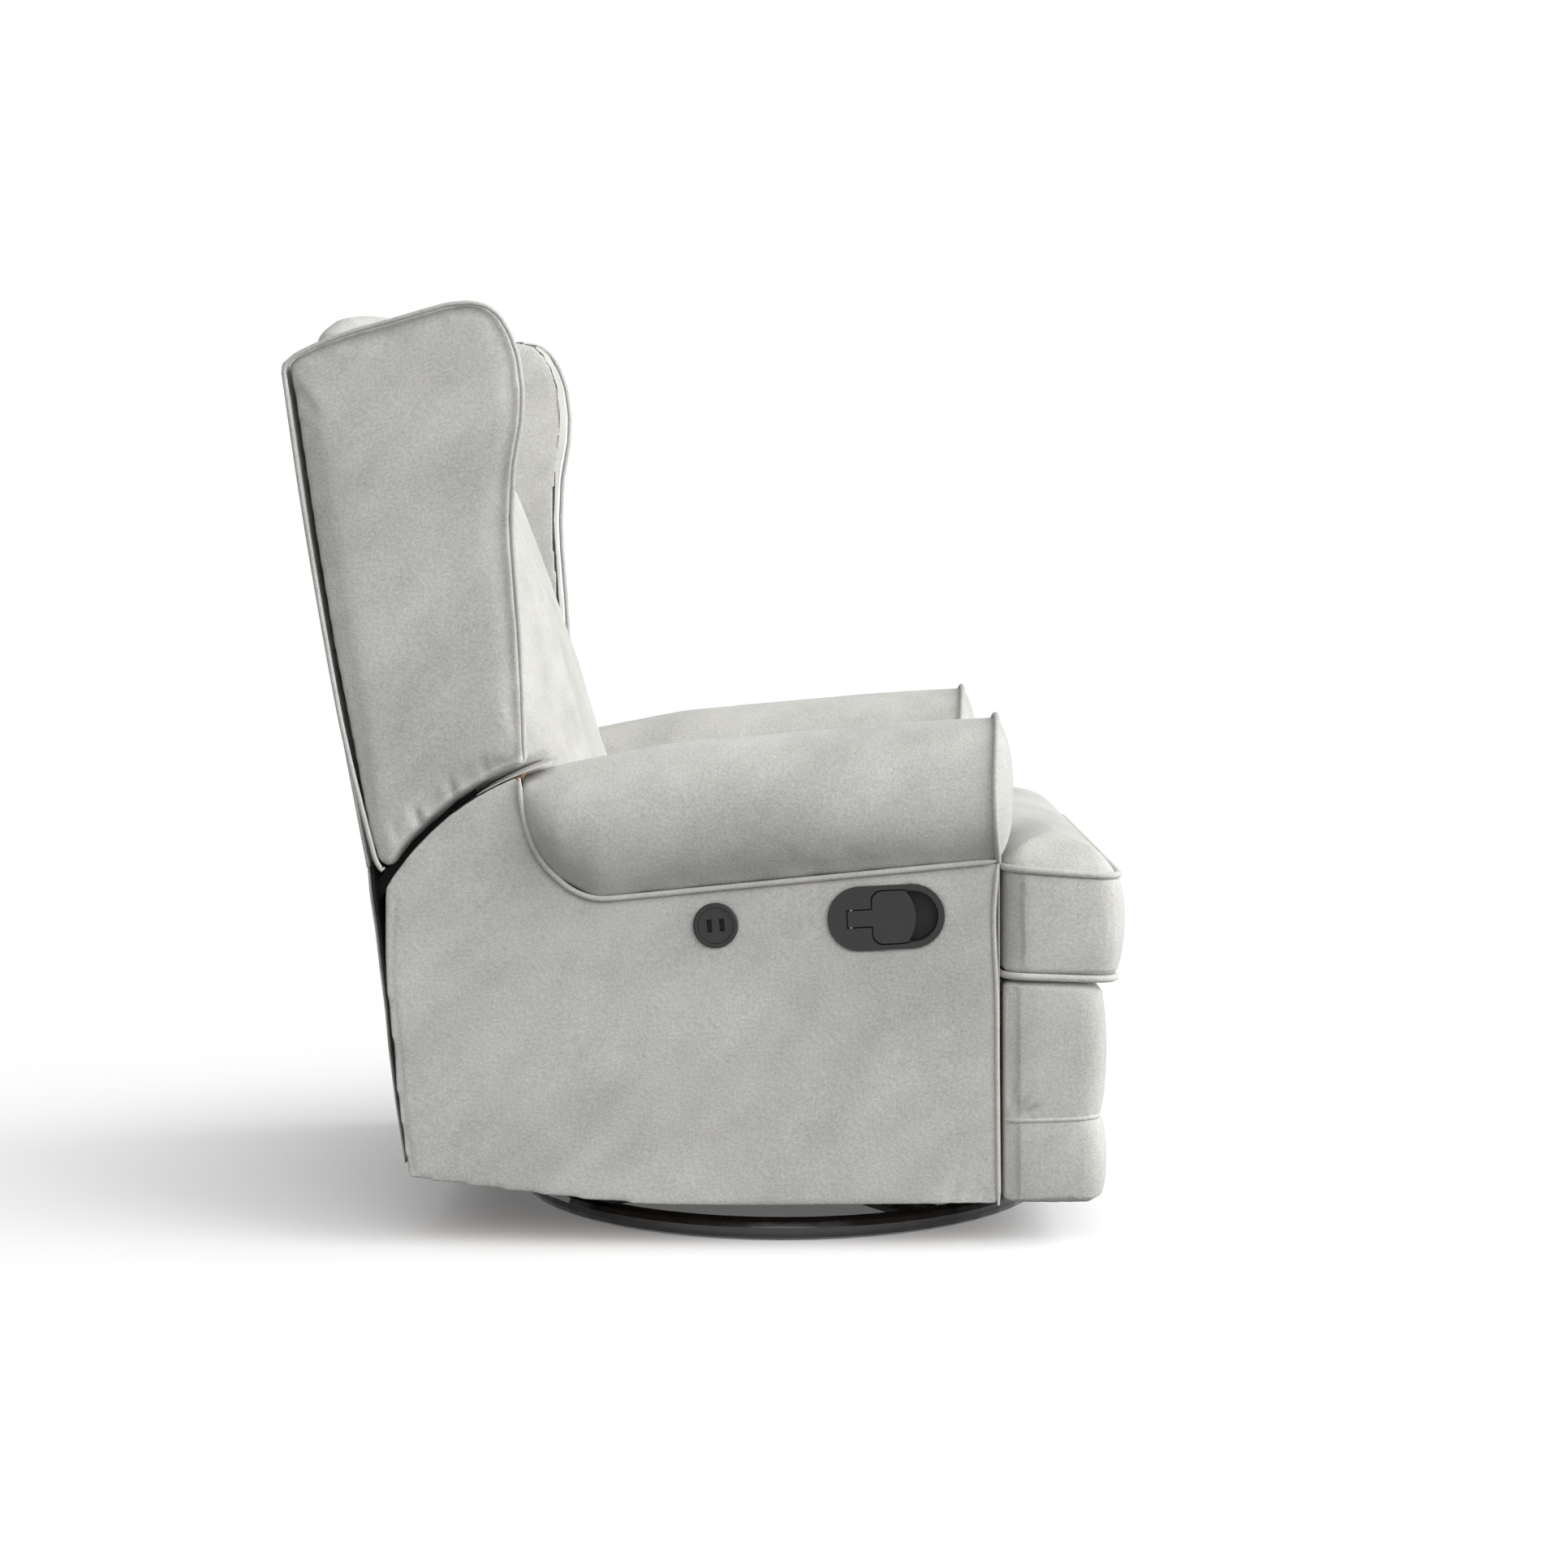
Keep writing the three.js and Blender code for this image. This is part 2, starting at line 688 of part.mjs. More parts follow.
function mechanismPlates() {
  const footLow = hangerBottomZ - carriageBarHeight / 2;
  const footHalf = carriageCrossDepth / 2;
  const rearShoulder = rearRailF + seatRailDepth / 2 + fitGap;
  const plateTop = driveZ + torqueTubeRadius + plateMargin;
  const points = [
    [-carriageCrossF - footHalf, footLow],
    [-carriageCrossF + footHalf, footLow],
    [-carriageCrossF + 3 * footHalf, hangerTopZ - 5 * footHalf],
    [-3 * footHalf, hangerTopZ - 2 * footHalf],
    [carriageCrossF - 8 * footHalf, hangerTopZ - 2 * footHalf],
    [carriageCrossF - 2 * footHalf, hangerTopZ - 7 * footHalf],
    [carriageCrossF - footHalf, footLow],
    [carriageCrossF + footHalf, footLow],
    [carriageCrossF + footHalf, seatRailZ - fitGap],
    [frontRailF - fitGap, seatRailZ - fitGap],
    [frontRailF - fitGap, plateTop],
    [rearShoulder, plateTop],
    [rearShoulder, rearRailZ - fitGap],
    [rearRailF - seatRailDepth / 2, rearRailZ - fitGap],
    [reclineF - 3 * footHalf, reclineZ + footHalf],
    [reclineF - 3 * footHalf, reclineZ - 2 * footHalf],
  ];
  [['left', 1], ['right', -1]].forEach(([sideName, side]) => {
    const shape = outline(points);
    addHole(shape, drivePivot.x, drivePivot.y, torqueTubeRadius + runningGap);
    const blank = plate(shape, sideRange(side, mechanismPlateX, plateOuterX));
    const inner = plateOuterX - linkThickness / 2;
    const rivets = [
      discAcross(
        sideRange(side, inner, driveX + linkThickness + pinEnd),
        rearPivot.x,
        rearPivot.y,
        pivotPinRadius,
      ),
      discAcross(
        sideRange(side, inner, stileInner - fitGap - pinEnd),
        reclineF,
        reclineZ,
        2 * pivotPinRadius,
      ),
    ];
    piece(`mechanism_plate_${sideName}`, join(blank, ...rivets), steel);
  });
}

function footrestLinks() {
  const tubeReach = driveX + linkThickness + pinEnd;
  piece(
    'footrest_torque_tube',
    discAcross([-tubeReach, tubeReach], drivePivot.x, drivePivot.y, torqueTubeRadius),
    brightSteel,
  );
  [['left', 1], ['right', -1]].forEach(([sideName, side]) => {
    const layer = (inner, extra = 0) => sideRange(side, inner, inner + linkThickness + extra);
    const pin = (innerX, outerX, pivot) => discAcross(
      sideRange(side, innerX, outerX),
      pivot.x,
      pivot.y,
      pivotPinRadius,
    );
    const midDrive = driveX + linkThickness / 2;
    piece(`drive_link_${sideName}`, join(
      driveArm(layer(driveX)),
      plate(linkShape(kneePivot, controlKneePivot, linkHalfWidth), layer(driveX), 6),
      pin(midDrive, carrierX + linkThickness + pinEnd, kneePivot),
      pin(controlX - pinEnd, midDrive, controlKneePivot),
    ), steel);
    piece(`rear_link_${sideName}`, join(
      rearArm(layer(driveX)),
      pin(midDrive, carrierX + linkThickness + pinEnd, rearKneePivot),
    ), steel);
    const carrierHoles = [rearKneePivot, kneePivot, boardPivot].map((pivot) => discAcross(
      sideRange(side, carrierX - cutOverrun, carrierX + linkThickness + cutOverrun),
      pivot.x,
      pivot.y,
      linkHole,
    ));
    piece(`carrier_link_${sideName}`, cut(join(
      plate(linkShape(rearKneePivot, kneePivot, linkHalfWidth), layer(carrierX), 6),
      plate(linkShape(kneePivot, boardPivot, linkHalfWidth), layer(carrierX), 6),
    ), ...carrierHoles), steel);
    const controlShape = linkShape(controlKneePivot, boardControlPivot, linkHalfWidth);
    [controlKneePivot, boardControlPivot].forEach((p) => addHole(controlShape, p.x, p.y, linkHole));
    piece(`control_link_${sideName}`, plate(controlShape, layer(controlX), 6), steel);
    const backFace = footrestBack - fitGap;
    const bracketShape = outline([
      [boardControlPivot.x - linkHalfWidth, boardControlPivot.y],
      [boardControlPivot.x - linkHalfWidth / 2, boardControlPivot.y - linkHalfWidth],
      [backFace, boardControlPivot.y - 5 * linkHalfWidth],
      [backFace, boardPivot.y + 2 * linkHalfWidth],
      [boardPivot.x + linkHalfWidth / 2, boardPivot.y + linkHalfWidth],
      [boardPivot.x - linkHalfWidth / 2, boardPivot.y + linkHalfWidth],
      [boardPivot.x - linkHalfWidth, boardPivot.y],
    ]);
    piece(`footrest_bracket_${sideName}`, join(
      plate(bracketShape, layer(driveX)),
      box(
        sideRange(side, driveX, driveX + 5 * linkThickness),
        [backFace - linkThickness, backFace],
        [boardControlPivot.y - 5 * linkHalfWidth, boardPivot.y + 2 * linkHalfWidth],
      ),
      pin(midDrive, carrierX + linkThickness + pinEnd, boardPivot),
      pin(controlX - pinEnd, midDrive, boardControlPivot),
    ), steel);
  });
}

function linkShape(from, to, halfWidth) {
  const direction = Math.atan2(to.y - from.y, to.x - from.x);
  const shape = new THREE.Shape();
  shape.absarc(from.x, from.y, halfWidth, direction + Math.PI / 2, direction + (3 * Math.PI) / 2, false);
  shape.absarc(to.x, to.y, halfWidth, direction - Math.PI / 2, direction + Math.PI / 2, false);
  shape.closePath();
  return shape;
}

function rearArm(xRange) {
  const shape = linkShape(rearPivot, rearKneePivot, linkHalfWidth);
  addHole(shape, rearPivot.x, rearPivot.y, linkHole);
  return plate(shape, xRange, 6);
}

// The driven link is wide where it takes the torque tube and narrows to its knee
function driveArm(xRange) {
  const holeRadius = torqueTubeRadius + fitGap;
  const wide = holeRadius + linkThickness;
  const direction = Math.atan2(armDirection.y, armDirection.x);
  const [near, far] = [drivePivot, kneePivot];
  const shape = new THREE.Shape();
  shape.absarc(near.x, near.y, wide, direction + Math.PI / 2, direction + (3 * Math.PI) / 2, false);
  shape.absarc(far.x, far.y, linkHalfWidth, direction - Math.PI / 2, direction + Math.PI / 2, false);
  shape.closePath();
  addHole(shape, near.x, near.y, holeRadius);
  return plate(shape, xRange, 8);
}

// Seat rails, the front one notched where the opened links pass, and sinuous springs

const notchShare = 0.55;

function seatRails() {
  const frontReach = armInnerFace - fitGap;
  const rail = box(
    [-frontReach, frontReach],
    [frontRailF, frontRailF + seatRailDepth],
    [seatRailZ, seatRailZ + seatRailHeight],
  );
  const linkNotches = [1, -1].map((side) => box(
    sideRange(side, driveX - linkGap, driveX + linkThickness + linkGap),
    [frontRailF - fitGap, frontRailF + seatRailDepth + fitGap],
    [seatRailZ - fitGap, seatRailZ + seatRailHeight * notchShare],
  ));
  piece('front_rail', cut(rail, ...linkNotches), wood);
  const rearReach = plateOuterX;
  piece('rear_rail', box(
    [-rearReach, rearReach],
    [rearRailF - seatRailDepth / 2, rearRailF + seatRailDepth / 2],
    [rearRailZ, rearRailTop],
  ), wood);
  const bodyRear = bodyRearPoints().pop()[0] + linkGap;
  piece('body_rear_rail', box(
    [-frontReach, frontReach],
    [bodyRear, bodyRear + bodyRearRailDepth],
    [bodyRearRailZ, bodyRearRailZ + seatRailHeight],
  ), wood);
}

function seatSprings() {
  const rearEnd = rearRailF;
  const frontEnd = frontRailF + seatRailDepth / 2;
  const springZ = rearRailTop + springWireRadius + fitGap;
  for (let i = 0; i < springCount; i += 1) {
    const middleX = (i - (springCount - 1) / 2) * springSpacing;
    const points = [];
    const halfWaves = springWaveCount * 2;
    for (let k = 0; k <= halfWaves; k += 1) {
      const swing = k === 0 || k === halfWaves ? 0 : springWaveWidth / 2;
      points.push(at(
        middleX + (k % 2 === 0 ? swing : -swing),
        blendValue(rearEnd, frontEnd, k / halfWaves),
        springZ,
      ));
    }
    const wire = new THREE.ExtrudeGeometry(circle(springWireRadius), {
      steps: halfWaves * 3,
      curveSegments: 3,
      bevelEnabled: false,
      extrudePath: new THREE.CatmullRomCurve3(points),
    });
    piece(`seat_spring_${i + 1}`, wire, brightSteel);
  }
}

// Body outline: straight front, arm seam, scooped rear end of the arm, round shoulder, raked rear, bowed foot

// The scoop runs from the arm seam's rear end to the shoulder, in shares of that span
const scoopShares = [
  [0.2744, 0.0618],
  [0.4967, 0.1778],
  [0.6889, 0.309],
  [0.8333, 0.5022],
  [0.9111, 0.7223],
  [0.9444, 0.9118],
];
const shoulderStartDegrees = 112;
const shoulderEndDegrees = 149;
// The rake behind the shoulder, in shares of the shoulder's rear end
const bodyRearShares = [
  [1.0003, 0.8256],
  [0.9971, 0.7485],
  [0.988, 0.6445],
  [0.9767, 0.5407],
  [0.9699, 0.4342],
  [0.9406, 0.1976],
];
const bodyFootShares = [
  [-0.3938, 0.0679],
  [-0.309, 0.0585],
  [-0.2242, 0.05],
  [-0.1395, 0.0443],
  [-0.0633, 0.0434],
];
const bodyFootFrontShare = 0.0472;

function armSeamZ(f) {
  return blendValue(armSeamRear, armSeamFront, (f - armSeamRearEnd) / (bodyFront - armSeamRearEnd));
}

function shoulderPoints(inset) {
  return arcPoints(reclineF, reclineZ, bodyArcRadius - inset, shoulderStartDegrees, shoulderEndDegrees, 7);
}

function scoopPoints() {
  const [shoulderF, shoulderZ] = shoulderPoints(0)[0];
  return scoopShares.map(([f, z]) => [
    blendValue(armSeamRearEnd, shoulderF, f),
    blendValue(armSeamRear, shoulderZ, z),
  ]);
}

function behindShoulder(shares) {
  const [rearF, rearZ] = shoulderPoints(0).pop();
  return shares.map(([f, z]) => [f * rearF, z * rearZ]);
}

function bodyRearPoints() {
  return behindShoulder(bodyRearShares);
}

function bodyOutline(inset) {
  const rearEnd = scoopPoints().map(([f, z]) => [f - inset, z - inset]);
  const shoulder = shoulderPoints(inset);
  const rear = bodyRearPoints().map(([f, z]) => [f + inset, z]);
  rear[rear.length - 1][1] += inset;
  const foot = bodyFootShares.map(([f, z]) => [f * chairDepth, z * chairHeight + inset]);
  return outline([
    [bodyFront - inset, bodyFootFrontShare * chairHeight + inset],
    [bodyFront - inset, armSeamZ(bodyFront) - inset],
    [armSeamRearEnd, armSeamZ(armSeamRearEnd) - inset],
    ...rearEnd,
    ...shoulder,
    ...rear,
    ...foot,
  ]);
}

function obround(f, z, length, height, tiltDegrees) {
  const radius = height / 2;
  const tilt = THREE.MathUtils.degToRad(tiltDegrees);
  const half = (length - height) / 2;
  const from = new THREE.Vector2(f - half * Math.cos(tilt), z - half * Math.sin(tilt));
  const to = new THREE.Vector2(f + half * Math.cos(tilt), z + half * Math.sin(tilt));
  return linkShape(from, to, radius);
}

const socketBlockRadius = socketBezelRadius - socketBezelRim;
const latchPocketLength = latchLength - 2 * latchRim;
const latchPocketHeight = latchHeight - 2 * latchRim;

function sidePanels() {
  [['left', 1], ['right', -1]].forEach(([sideName, side]) => {
    const inner = bodyHalfWidth - sidePanelThickness;
    const blank = plate(bodyOutline(0), sideRange(side, inner, bodyHalfWidth));
    if (side > 0) {
      piece(`side_panel_${sideName}`, blank, suede);
      return;
    }
    const cutRange = sideRange(side, inner - cutOverrun, bodyHalfWidth + cutOverrun);
    const holeLength = latchPocketLength + 2 * fitGap;
    const holeHeight = latchPocketHeight + 2 * fitGap;
    const latchHole = plate(obround(latchF, latchZ, holeLength, holeHeight, latchTiltDegrees), cutRange);
    const socketHole = discAcross(cutRange, socketF, socketZ, socketBlockRadius + fitGap, 14);
    piece(`side_panel_${sideName}`, cut(blank, latchHole, socketHole), suede);
  });
}

// Wooden arm box: a tray whose open side is closed by the side panel
function armFrames() {
  [['left', 1], ['right', -1]].forEach(([sideName, side]) => {
    const outer = bodyHalfWidth - sidePanelThickness - fitGap;
    const block = plate(bodyOutline(skinInset), sideRange(side, armInnerFace, outer));
    const hollow = plate(
      bodyOutline(skinInset + armBoxWall),
      sideRange(side, armInnerFace + armBoxWall, outer + cutOverrun),
    );
    if (side > 0) {
      piece(`arm_frame_${sideName}`, cut(block, hollow), wood);
      return;
    }
    const cableHole = discAcross(
      sideRange(side, armInnerFace - cutOverrun, armInnerFace + armBoxWall + cutOverrun),
      cableClampF,
      cableClampZ,
      3 * cableRadius,
    );
    piece(`arm_frame_${sideName}`, cut(block, hollow, cableHole), wood);
  });
}

// Rolled arm: a barrel that lies on the arm box, flat below, with a puffed front

// Top line: shares of the way from scoop to arm front, and from shoulder to arm top
const armTopShares = [
  [0, 0],
  [0.0605, 0.163],
  [0.1701, 0.3438],
  [0.2911, 0.5399],
  [0.4612, 0.6757],
  [0.6919, 0.8416],
  [0.8469, 0.9464],
  [1, 1],
];
const armMiddleShare = 0.47;
const armDropShare = 0.3;
const armFullHeightShare = 0.9;
const armBellyShare = 1.14;
// Rings of the puffed front: how far out, and how wide
const armFrontShares = [
  [0.55, 0.93],
  [0.9, 0.7],
  [1, 0.4],
];
const armStationShares = [0, 0.0045, 0.018, 0.042, 0.08, 0.16, 0.3, 0.46, 0.62, 0.78, 0.92, 1];

function armRolls() {
  const bottom = scoopPoints().reverse();
  const rearF = bottom[0][0];
  const shoulderZ = shoulderPoints(0)[0][1];
  const top = armTopShares.map(([f, z]) => [
    blendValue(rearF, bodyFront, f),
    blendValue(shoulderZ, armSeamFront + armRollHeight, z),
  ]);
  bottom.push([armSeamRearEnd, armSeamRear], [bodyFront, armSeamFront]);
  const middleX = armRollInner + armRollWidth / 2;
  const ringCount = 20;
  const ringAt = (f, shrink) => {
    const low = along(bottom, f) + coverGap;
    const drop = (1 - shrink) * armRollWidth * armDropShare;
    const high = along(top, f) - drop;
    const lifted = low + drop;
    const middleZ = blendValue(lifted, high, armMiddleShare);
    const endShare = Math.min(1, Math.sqrt((high - low) / (armRollWidth * armFullHeightShare)));
    const halfWidth = (armRollWidth / 2) * shrink * endShare;
    const ring = [];
    for (let i = 0; i < ringCount; i += 1) {
      const angle = ((i + 0.5) * 2 * Math.PI) / ringCount;
      const reach = Math.sin(angle) > 0 ? high - middleZ : (middleZ - lifted) * armBellyShare;
      const z = Math.max(lifted, middleZ + reach * Math.sin(angle));
      ring.push([middleX + halfWidth * Math.cos(angle), f, z]);
    }
    return ring;
  };
  const rings = armStationShares.map((share) => ringAt(blendValue(rearF, bodyFront, share), 1));
  armFrontShares.forEach(([out, width]) => rings.push(ringAt(bodyFront + armRollFrontPuff * out, width)));
  [['left', 1], ['right', -1]].forEach(([sideName, side]) => {
    const skin = rings.map((ring) => ring.map(([x, f, z]) => at(side * x, f, z)));
    piece(`arm_roll_${sideName}`, loft(skin), suede);
  });
}

function armFronts() {
  [['left', 1], ['right', -1]].forEach(([sideName, side]) => {
    piece(`arm_front_${sideName}`, box(
      sideRange(side, armFrontInner, bodyHalfWidth - skinInset),
      [bodyFront + fitGap, armFrontFace],
      [armFrontBottom, armSeamFront - skinInset],
    ), suede);
  });
}

// Seat cushion: T outline with rounded corners, boxed sides that bow out, crowned top

const seatCornerRadius = 24;
const seatFrontShares = [0.4, 0.75];
const seatSideShares = [0.33, 0.66];
const cushionRiseShare = 1.4;

// Each point is (x, f) with the direction in which an inset moves it
function seatOutline() {
  const radius = seatCornerRadius;
  const wide = footrestHalfWidth;
  const corner = (x, f, fromDegrees, toDegrees) => arcPoints(0, 0, 1, fromDegrees, toDegrees, 3)
    .map(([dx, df]) => [x + radius * dx, f + radius * df, -dx, -df]);
  const side = (share) => [seatHalfWidth, blendValue(cushionFrontInset, seatRear, share), -1, 0];
  const half = [
    [0, cushionFront, 0, -1],
    ...seatFrontShares.map((share) => [wide * share, cushionFront, 0, -1]),
    ...corner(wide - radius, cushionFront - radius, 90, 0),
    [wide, (cushionFront + cushionFrontInset) / 2, -1, 0],
    ...corner(wide - radius, cushionFrontInset + radius, 0, -90),
    [(wide + seatHalfWidth) / 2, cushionFrontInset, 0, 1],
    [seatHalfWidth, cushionFrontInset, -1, 1],
    ...seatSideShares.map(side),
    ...corner(seatHalfWidth - radius, seatRear + radius, 0, -90),
    [seatHalfWidth / 2, seatRear, 0, 1],
    [0, seatRear, 0, 1],
  ];
  const other = half.slice(1, -1).reverse().map(([x, f, dx, df]) => [-x, f, -dx, df]);
  return [...half, ...other];
}

// Inset as a share of the crown, height as a share of the boxed side, and the crown's own share
const seatLevelShares = [
  [0.3, 0, 0],
  [0.07, 0.03, 0],
  [0, 0.12, 0],
  [-0.06, 0.5, 0],
  [0, 0.94, 0],
  [0.08, 1, 0.08],
  [0.5, 1, 0.5],
  [1, 1, 0.8],
  [1.5, 1, 0.96],
];

function seatCushion() {
  const ring = seatOutline();
  const seamZ = (f) => cushionFrontTopSeam
    + cushionRise * Math.min(cushionRiseShare, (cushionFront - f) / (cushionFront - cushionFrontInset));
  const rings = seatLevelShares.map(([inset, height, crown]) => ring.map(([x, f, dx, df]) => {
    const move = Math.max(inset * cushionCrown, f === cushionFrontInset ? 0 : -cushionCrown);
    const z = blendValue(cushionBottom, seamZ(f), height) + crown * cushionCrown;
    return at(x + move * dx, f + move * df, z);
  }));
  const middleF = (cushionFront + cushionFrontInset) / 2;
  const middles = [at(0, middleF, cushionBottom), at(0, middleF, seamZ(middleF) + cushionCrown)];
  piece('seat_cushion', loft(rings, middles), suede);
}

// Footrest: plywood board in two puffed rows of padding

const padSectionShares = [
  [0, 0.03],
  [0, 0.5],
  [0, 0.97],
  [0.06, 1],
  [0.6, 1],
  [0.93, 0.99],
  [1, 0.94],
  [1.04, 0.78],
  [1.076, 0.5],
  [1.04, 0.22],
  [1, 0.06],
  [0.93, 0.01],
  [0.6, 0],
  [0.06, 0],
];
const padStationShares = [-1, -0.985, -0.9, -0.5, 0, 0.5, 0.9, 0.985, 1];
const padEndShares = [0.9, 0.985, 1, 1, 1, 1, 1, 0.985, 0.9];

function footrest() {
  const boardRange = [footrestBack, footrestBack + boardThickness];
  piece('footrest_board', box(
    [-boardHalfWidth, boardHalfWidth],
    boardRange,
    [boardBottom, boardTop],
  ), wood);
  const pocket = box(
    [-boardHalfWidth - fitGap, boardHalfWidth + fitGap],
    [footrestBack - cutOverrun, footrestBack + boardThickness + fitGap],
    [boardBottom - fitGap, boardTop + fitGap],
  );
  const depth = footrestFront - footrestPuff / 2 - footrestBack;
  const pad = (name, low, high) => {
    const middleZ = (low + high) / 2;
    const rings = padStationShares.map((share, i) => padSectionShares.map(([f, z]) => at(
      share * footrestHalfWidth,
      footrestBack + fitGap + f * depth * padEndShares[i],
      middleZ + (blendValue(low, high, z) - middleZ) * padEndShares[i],
    )));
    piece(name, cut(loft(rings), pocket), suede);
  };
  pad('footrest_pad_lower', footrestBottom, footrestSeam - fitGap);
  pad('footrest_pad_upper', footrestSeam + fitGap, footrestTop);
}

// Back: wooden frame on two steel brackets, flat outside panel, padded wings and crowned inside cushion

function backFaceF(z) {
  return backFootF - (backLean * (z - backFootZ)) / backRise;
}

const frameOffset = backPanelThickness + fitGap;
const bracketRiseShare = 2.4;
const bracketTopZ = backFrameFootZ + bracketRiseShare * backRailHeight;
const midRailShare = 0.4;
const panelTopShare = 1.03;

function backFrame() {
  const slab = (xRange, low, high) => plate(outline([
    [backFaceF(low) + frameOffset, low],
    [backFaceF(low) + frameOffset + backFrameDepth, low],
    [backFaceF(high) + frameOffset + backFrameDepth, high],
    [backFaceF(high) + frameOffset, high],
  ]), xRange);
  const stileOuter = stileInner + stileWidth;
  const wide = backHalfWidth - fitGap;
  const lowRail = bracketTopZ + linkGap;
  const midLow = blendValue(lowRail, backFrameTopZ, midRailShare);
  piece('back_frame', join(
    slab([stileInner, stileOuter], backFrameFootZ, backFrameTopZ),
    slab([-stileOuter, -stileInner], backFrameFootZ, backFrameTopZ),
    slab([-stileOuter, stileOuter], lowRail, lowRail + backRailHeight),
    slab([-wide, wide], midLow, midLow + backRailHeight),
    slab([-wide, wide], backFrameTopZ - backRailHeight, backFrameTopZ),
  ), wood);
}

function backBrackets() {
  const foot = backFrameFootZ;
  const near = 4 * pivotPinRadius;
  const stileFront = backFaceF(foot) + frameOffset + backFrameDepth;
  const stileBack = backFaceF(foot) + frameOffset;
  const topEdge = backCushionFootZ - 2 * linkGap;
  const points = [
    ...arcPoints(reclineF, reclineZ, near, 60, -110, 6),
    [stileFront, foot - backRailHeight / 4],
    [stileBack, foot + linkGap],
    [backFaceF(bracketTopZ) + frameOffset, bracketTopZ],
    [backFaceF(bracketTopZ) + frameOffset + backFrameDepth, bracketTopZ],
    [stileFront, topEdge],
  ];
  [['left', 1], ['right', -1]].forEach(([sideName, side]) => {
    const outer = stileInner - fitGap;
    const shape = outline(points);
    addHole(shape, reclineF, reclineZ, 2 * pivotPinRadius + runningGap);
    piece(`back_bracket_${sideName}`, plate(shape, sideRange(side, outer - bracketThickness, outer)), steel);
  });
}

function backPanel() {
  const low = backFootZ;
  const high = backFootZ + backRise * panelTopShare;
  piece('back_panel', plate(outline([
    [backFaceF(low), low],
    [backFaceF(low) + backPanelThickness, low],
    [backFaceF(high) + backPanelThickness, high],
    [backFaceF(high), high],
  ]), [-backHalfWidth, backHalfWidth]), suede);
}

const wingRearShares = [
  [-0.4775, 0.3943],
  [-0.4871, 0.4019],
  [-0.4968, 0.4264],
  [-0.5054, 0.4642],
  [-0.515, 0.5104],
  [-0.5408, 0.6264],
  [-0.5644, 0.7509],
  [-0.5944, 0.9274],
];
const wingTopShares = [
  [-0.5826, 0.9368],
  [-0.5515, 0.95],
  [-0.5118, 0.9623],
  [-0.4689, 0.9726],
  [-0.4292, 0.983],
  [-0.3981, 0.9906],
  [-0.3734, 0.9925],
  [-0.3519, 0.9887],
  [-0.3369, 0.9783],
  [-0.324, 0.9594],
];
const wingFrontShares = [
  [-0.3144, 0.9349],
  [-0.309, 0.9],
  [-0.3101, 0.8679],
  [-0.3197, 0.8189],
  [-0.3224, 0.7642],
  [-0.3208, 0.73],
  [-0.3144, 0.66],
  [-0.3095, 0.584],
];

function wingPoints() {
  const scaled = (shares) => shares.map(([f, z]) => [f * chairDepth, z * chairHeight]);
  const lower = arcPoints(reclineF, reclineZ, wingArcRadius, 109, 145, 6);
  return [...lower, ...scaled(wingRearShares), ...scaled(wingTopShares), ...scaled(wingFrontShares)];
}

// A wing is a flat board outline whose edge is rounded and whose faces swell
const wingLevelShares = [
  [0.9, 0],
  [0.97, 0.05],
  [0.995, 0.2],
  [1, 0.5],
  [1, 0.9],
  [0.985, 0.985],
  [0.8, 1.04],
  [0.4, 1.06],
];

function wings() {
  const points = wingPoints();
  const count = points.length;
  const middle = points.reduce((sum, [f, z]) => [sum[0] + f / count, sum[1] + z / count], [0, 0]);
  const inner = bodyHalfWidth - wingThickness;
  const outer = bodyHalfWidth - wingPuff;
  [['left', 1], ['right', -1]].forEach(([sideName, side]) => {
    const rings = wingLevelShares.map(([spread, level]) => points.map(([f, z]) => at(
      side * blendValue(inner, outer, level),
      middle[0] + (f - middle[0]) * spread,
      middle[1] + (z - middle[1]) * spread,
    )));
    piece(`wing_${sideName}`, loft(rings), suede);
  });
}

// Inside back, from foot to frame top: front face, height, width and how far the sides draw back
const backCushionShares = [
  [-0.219, 0, 0.98, 0.02],
  [-0.207, 0.0218, 1, 0.02],
  [-0.213, 0.1728, 1, 0.03],
  [-0.2446, 0.2902, 1, 0.04],
  [-0.279, 0.4619, 1, 0.05],
  [-0.317, 0.6256, 1, 0.05],
  [-0.354, 0.7706, 1, 0.045],
  [-0.396, 0.9108, 1, 0.04],
  [-0.432, 1, 1, 0.035],
];
// The crest runs back over the frame: the second place is how far its rear edge is from the back's face
const backCrestShares = [
  [-0.438, 0.139, 0.084, 0.995, 0.03],
  [-0.447, 0.133, 0.349, 0.98, 0.025],
  [-0.456, 0.06, 0.424, 0.97, 0.02],
  [-0.487, 0.2, 0.712, 0.9, 0.015],
  [-0.515, 0.428, 0.919, 0.72, 0.01],
  [-0.53, 0.582, 0.988, 0.42, 0.004],
];

